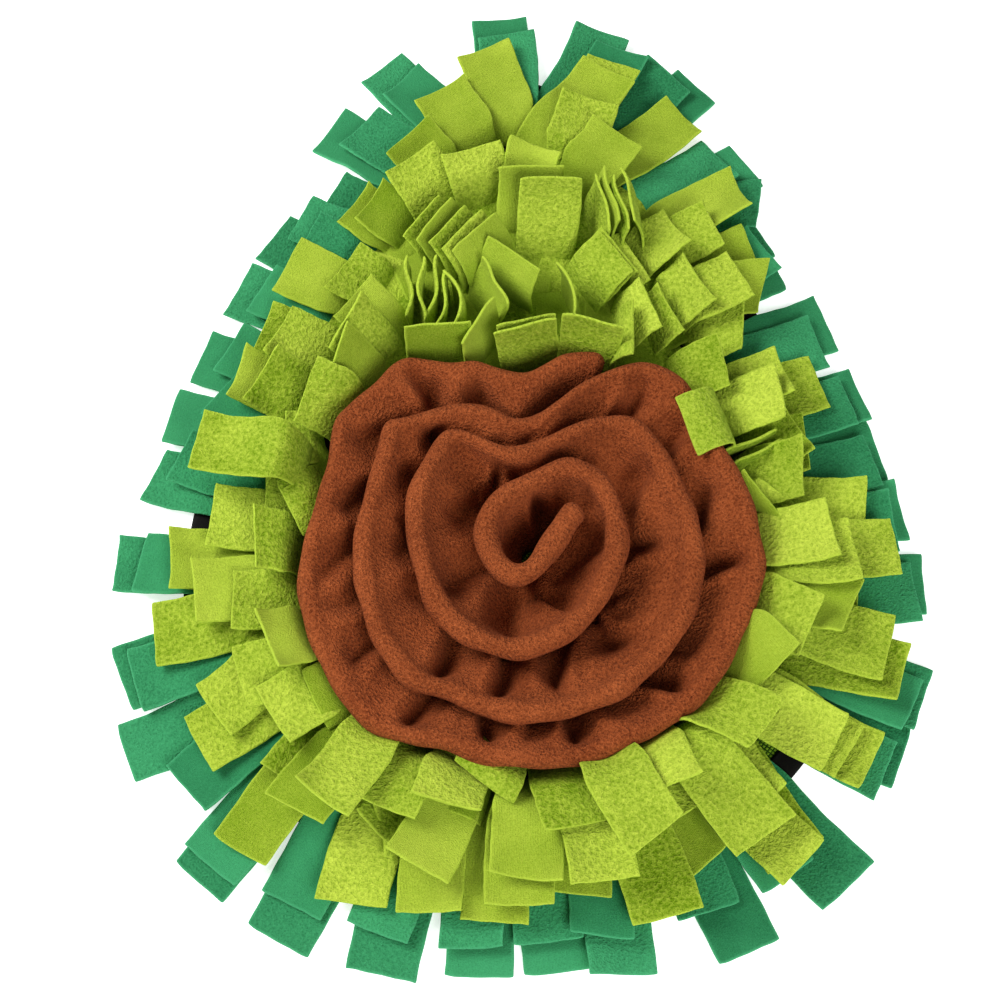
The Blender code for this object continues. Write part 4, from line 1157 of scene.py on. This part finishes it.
def rose_lines():
    """The crest and foot of the band at each step, and the turn that each step belongs to."""
    crest, length = smooth_through(ROSE_CREST, ROSE_STEPS)
    away = crest - ROSE_CENTRE
    radius = np.linalg.norm(away, axis=1)
    bearing = -np.unwrap(np.arctan2(away[:, 1], away[:, 0]))
    bearing = np.maximum.accumulate(bearing - bearing[0])
    turn = bearing / math.tau + 1.0
    share = np.linspace(0.0, 1.0, ROSE_STEPS)
    height = CREST_INNER + (CREST_OUTER - CREST_INNER) * share ** CREST_FALL
    height += waves(CREST_WAVES, share * length)
    #   from turn two on, the foot is tucked in under the crest of the turn inside
    inside = np.interp(bearing - math.tau, bearing, radius)
    tuck = np.interp(turn, *np.transpose(ROSE_TUCK))
    lean = np.where(bearing > math.tau, radius - inside + tuck, 0.0)
    least = np.interp(bearing / math.tau, (0.0, 1.0), LEAST_LEAN)
    lean = np.minimum(np.maximum(lean, least), radius)
    soften(lean, LEAN_SOFTENING)
    run = np.gradient(crest, axis=0)
    run /= np.linalg.norm(run, axis=1)[:, None]
    square = np.column_stack((-run[:, 1], run[:, 0]))
    mix = np.clip((turn - HEART_TURN) / HEART_BLEND, 0.0, 1.0)[:, None]
    out = square * (1.0 - mix) + away / radius[:, None] * mix
    soften(out, OUT_SOFTENING)
    out /= np.linalg.norm(out, axis=1)[:, None]
    foot = crest - out * lean[:, None]
    room = np.interp(bearing - math.tau, bearing, height) - 2 * CREST_ROLL - ROSE_FOOT
    shoulder = ROSE_FOOT + room * np.interp(turn, *np.transpose(ROSE_SHOULDER))
    return crest, foot, height, shoulder, turn, length


def band_section(crest, foot, height, shoulder, pinch, roll):
    """Both skins of the doubled band at one step, outer then inner, and which way each point of
    its inner face gives when it is pushed."""
    low = np.array((*foot, ROSE_FOOT))
    high = np.array((*crest, height - roll))
    out = high - low
    out[2] = 0.0
    lean = float(np.linalg.norm(out))
    out /= max(lean, TINY)
    up = np.array((0.0, 0.0, 1.0))
    #   from its foot the band goes up to its shoulder, then out, and up again to its crest
    first = low + up * (shoulder - ROSE_FOOT) + out * min(2.0, 0.2 * lean)
    level = shoulder + 0.12 * (height - shoulder)
    second = high - out * (ROSE_NECK + 0.08 * lean) + up * (level - high[2])

    def place(share, off, beyond=0.0):
        rest = 1 - share
        run = rest ** 2 * (first - low) + 2 * share * rest * (second - first)
        run = unit(run + share * share * (high - second))
        side = up * -(run @ out) + out * (run @ up)
        middle = bend_through(low, first, second, high, share)
        return middle + run * beyond - side * off, side

    skins = []
    for thick in (0.0, BROWN_FLEECE):
        half = [(share, max(off - thick, 0.15) * pinch, 0.0) for share, off in ROSE_BODY]
        full = (roll - thick) * pinch
        half += [(1.0, full * math.cos(math.radians(a)), full * math.sin(math.radians(a)))
                 for a in ROSE_CAP]
        inner = [place(*where) for where in half]
        outer = [place(share, -off, beyond)[0] for share, off, beyond in half[-2::-1]]
        skins.append((np.array([where for where, _ in inner] + outer),
                      np.array([side for _, side in inner])))
    return skins


def crease_push(points, turn):
    """How deep each point of the band's inner face is drawn in by the creases near it."""
    push = np.zeros(len(points))
    for number, foot, crest, bow, depth, width in ROSE_CREASES:
        if abs(turn - number - 0.5) > 0.75:
            continue
        foot = np.array(foot, float)
        run = np.array(crest, float) - foot
        long = float(np.linalg.norm(run))
        run /= long
        offset = points[:, :2] - foot
        along = offset @ run / long
        aside = offset @ np.array((-run[1], run[0])) - bow * 4.0 * along * (1.0 - along)
        #   a crease fades out past both of its ends and widens towards the crest
        reach = np.clip((1.12 - along) / 0.42, 0.0, 1.0) * np.clip((along + 0.9) / 0.5, 0.0, 1.0)
        narrow = width * (0.75 + 0.5 * np.clip(along, 0.0, 1.0))
        #   it is a sharp valley, gentler on the side it bows to, between two low swellings
        lopsided = np.where(aside * (1 if bow >= 0 else -1) > 0, 1.45, 0.75)
        near = np.abs(aside) / (narrow * lopsided)
        valley = np.exp(-near ** 1.35)
        swelling = 0.4 * np.exp(-((near - 2.3) / 1.1) ** 2)
        push += CREASE_DEPTH * depth * reach * (valley - swelling)
    return push


def make_rose(material):
    """The whole band: two skins that meet along its raw edges and at both of its ends."""
    crest, foot, height, shoulder, turn, length = rose_lines()
    half = len(ROSE_BODY) + len(ROSE_CAP)
    rim = 2 * half - 1
    shares = np.array([share for share, _ in ROSE_BODY] + [1.0] * len(ROSE_CAP))
    #   creases fade towards the crest, and the sewn foot gives only a little
    loosen = np.clip((1.02 - shares) / 0.34, 0.0, 1.0) * np.clip((shares - 0.1) / 0.35, 0.25, 1.0)
    points = []
    cloth = []
    for k in range(ROSE_STEPS):
        along = k / (ROSE_STEPS - 1) * length
        ends = min(1.0, (min(along, length - along) + 0.3) / CREST_ROLL)
        pinch = math.sqrt(1.0 - (1.0 - ends) ** 2)
        roll = CREST_ROLL + INNER_ROLL * (1 - k / ROSE_STEPS) ** 2 + waves(ROLL_WAVES, along)
        for skin, give in band_section(crest[k], foot[k], height[k], shoulder[k], pinch, roll):
            move = give * (crease_push(skin[:half], turn[k]) * loosen)[:, None]
            skin[:half] += move
            skin[half:] += move[-2::-1] * CREASE_PULL
            skin[:, 2] = np.maximum(skin[:, 2], LEAST_LEVEL)
            points.append(skin)
        cloth.append(np.column_stack((np.linspace(0, ROSE_PATTERN, rim), np.full(rim, along))))
    blocks = np.concatenate(points[0::2] + points[1::2])
    tone = np.tile((0.5, 0.0, 0.5, 1.0), (len(blocks), 1))
    made = make_piece("rose_band", blocks, np.concatenate(two_skins(ROSE_STEPS, rim)), material,
                      np.concatenate(cloth + cloth), tone)
    return made, length


# the first colour is painted shade in the nap's hollows, the second painted highlight on its clump
# tops
brown_fleece = make_fleece("brown_fleece", shaded_pits=(0.115, 0.020, 0.003), lit_tops=(0.56, 0.164, 0.053),
                           edge=(0.34, 0.10, 0.035), nap_scale=760.0, nap_depth=0.0023,
                           contrast=1.1, sheen=0.15)
rose, rose_length = make_rose(brown_fleece)
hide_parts("rose")

# ---------------------------------------------------------------- the lock over the rim
# One light lock of the same fleece stands behind the rose, caught in a tape at its root. Its end
# is free, and folds over the rose's outer crest.
RIM_ROOT_SIDE = 8.0
RIM_PATH = (
    (99, 0, 3), (102, 2, 16), (102, 3, 30), (101, 2, 37), (97, 0, 41), (92, -2, 42),
    (87, -4, 41.5), (82, -6, 40),
)
RIM_HEADING = 198.0
RIM_OPENS = 0.5              # how far up the lock it has come to its full width
RIM_WAVE = 0.5
RIM_SEED = 5


def make_rim_lock(material):
    path = np.array(RIM_PATH, float)
    steps = np.concatenate(([0.0], np.cumsum(np.linalg.norm(np.diff(path, axis=0), axis=1))))
    fine = np.column_stack([np.interp(ALONG * steps[-1], steps, path[:, k]) for k in range(3)])
    soften(fine, 2)
    side = np.array((*heading_of(RIM_HEADING + 90), 0.0))
    open_out = np.clip(ALONG / RIM_OPENS, 0.0, 1.0)
    half = RIM_ROOT_SIDE + (LOCK_WIDTH / 2 - RIM_ROOT_SIDE) * open_out
    middle = fine[:, None, :] + side * ((2 * ACROSS - 1)[None, :, None] * half[:, None, None])
    wave = np.sin(ALONG[:, None] * 7 + ACROSS[None, :] * 5) * ALONG[:, None]
    middle[..., 2] += RIM_WAVE * wave
    parts = new_parts()
    add_lock(parts, middle, 0, np.random.RandomState(RIM_SEED), float(steps[-1]))
    finish_row("fringe_rim_lock", parts, material)


make_rim_lock(light_fleece)

# ---------------------------------------------------------------- stage
# A pale floor in an evenly lit studio, and two wide, soft lamps above the mat, the stronger one at
# its left and the other in front of it.
FLOOR_REACH = 6.0
FLOOR_LEVEL = -0.0004
FLOOR_GLOW = 0.5
FLOOR_COLOUR = (0.93, 0.93, 0.93)
#   lamps: place, width, power
LAMPS = {"key": ((-0.9, 0.35, 0.9), 0.7, 13.5), "fill": ((0.5, -1.0, 0.9), 0.8, 11.0)}
CAMERA_PLACE = (-0.0089, -0.3644, 0.8308)
CAMERA_TILT = 22.0
CAMERA_LENS = 63.5
CAMERA_SENSOR = 36.0
WORLD_LIGHT = 0.28


def make_stage():
    mesh = bpy.data.meshes.new("floor")
    corners = ((-1, -1), (1, -1), (1, 1), (-1, 1))
    mesh.from_pydata([(x * FLOOR_REACH, y * FLOOR_REACH, FLOOR_LEVEL) for x, y in corners], [],
                     [(0, 1, 2, 3)])
    floor = bpy.data.objects.new("floor", mesh)
    material = bpy.data.materials.new("pale_floor")
    material.use_nodes = True
    shader = material.node_tree.nodes["Principled BSDF"]
    shader.inputs["Base Color"].default_value = (*FLOOR_COLOUR, 1.0)
    shader.inputs["Emission Color"].default_value = (1.0, 1.0, 1.0, 1.0)
    shader.inputs["Emission Strength"].default_value = FLOOR_GLOW
    shader.inputs["Roughness"].default_value = 0.9
    mesh.materials.append(material)
    bpy.context.collection.objects.link(floor)


def add_softbox(name, place, size, power):
    """A square lamp that shines on the middle of the mat."""
    light = bpy.data.lights.new(name, "AREA")
    light.shape = "SQUARE"
    light.size = size
    light.energy = power
    lamp = bpy.data.objects.new(name, light)
    lamp.location = place
    x, y, z = place
    lamp.rotation_euler = (math.atan2(math.hypot(x, y), z), 0.0, math.atan2(x, -y))
    bpy.context.collection.objects.link(lamp)


def set_scene():
    world = bpy.data.worlds.new("studio")
    world.use_nodes = True
    sky = world.node_tree.nodes["Background"]
    sky.inputs["Color"].default_value = (1.0, 1.0, 1.0, 1.0)
    sky.inputs["Strength"].default_value = WORLD_LIGHT
    bpy.context.scene.world = world
    for name, lamp in LAMPS.items():
        add_softbox(name, *lamp)
    camera = bpy.data.cameras.new("camera")
    camera.sensor_width = CAMERA_SENSOR
    camera.lens = CAMERA_LENS
    viewer = bpy.data.objects.new("camera", camera)
    viewer.location = CAMERA_PLACE
    viewer.rotation_euler = (math.radians(CAMERA_TILT), 0.0, 0.0)
    bpy.context.collection.objects.link(viewer)
    bpy.context.scene.camera = viewer
    bpy.context.scene.view_settings.view_transform = "Standard"
    bpy.context.scene.view_settings.look = "Medium High Contrast"


make_stage()
set_scene()
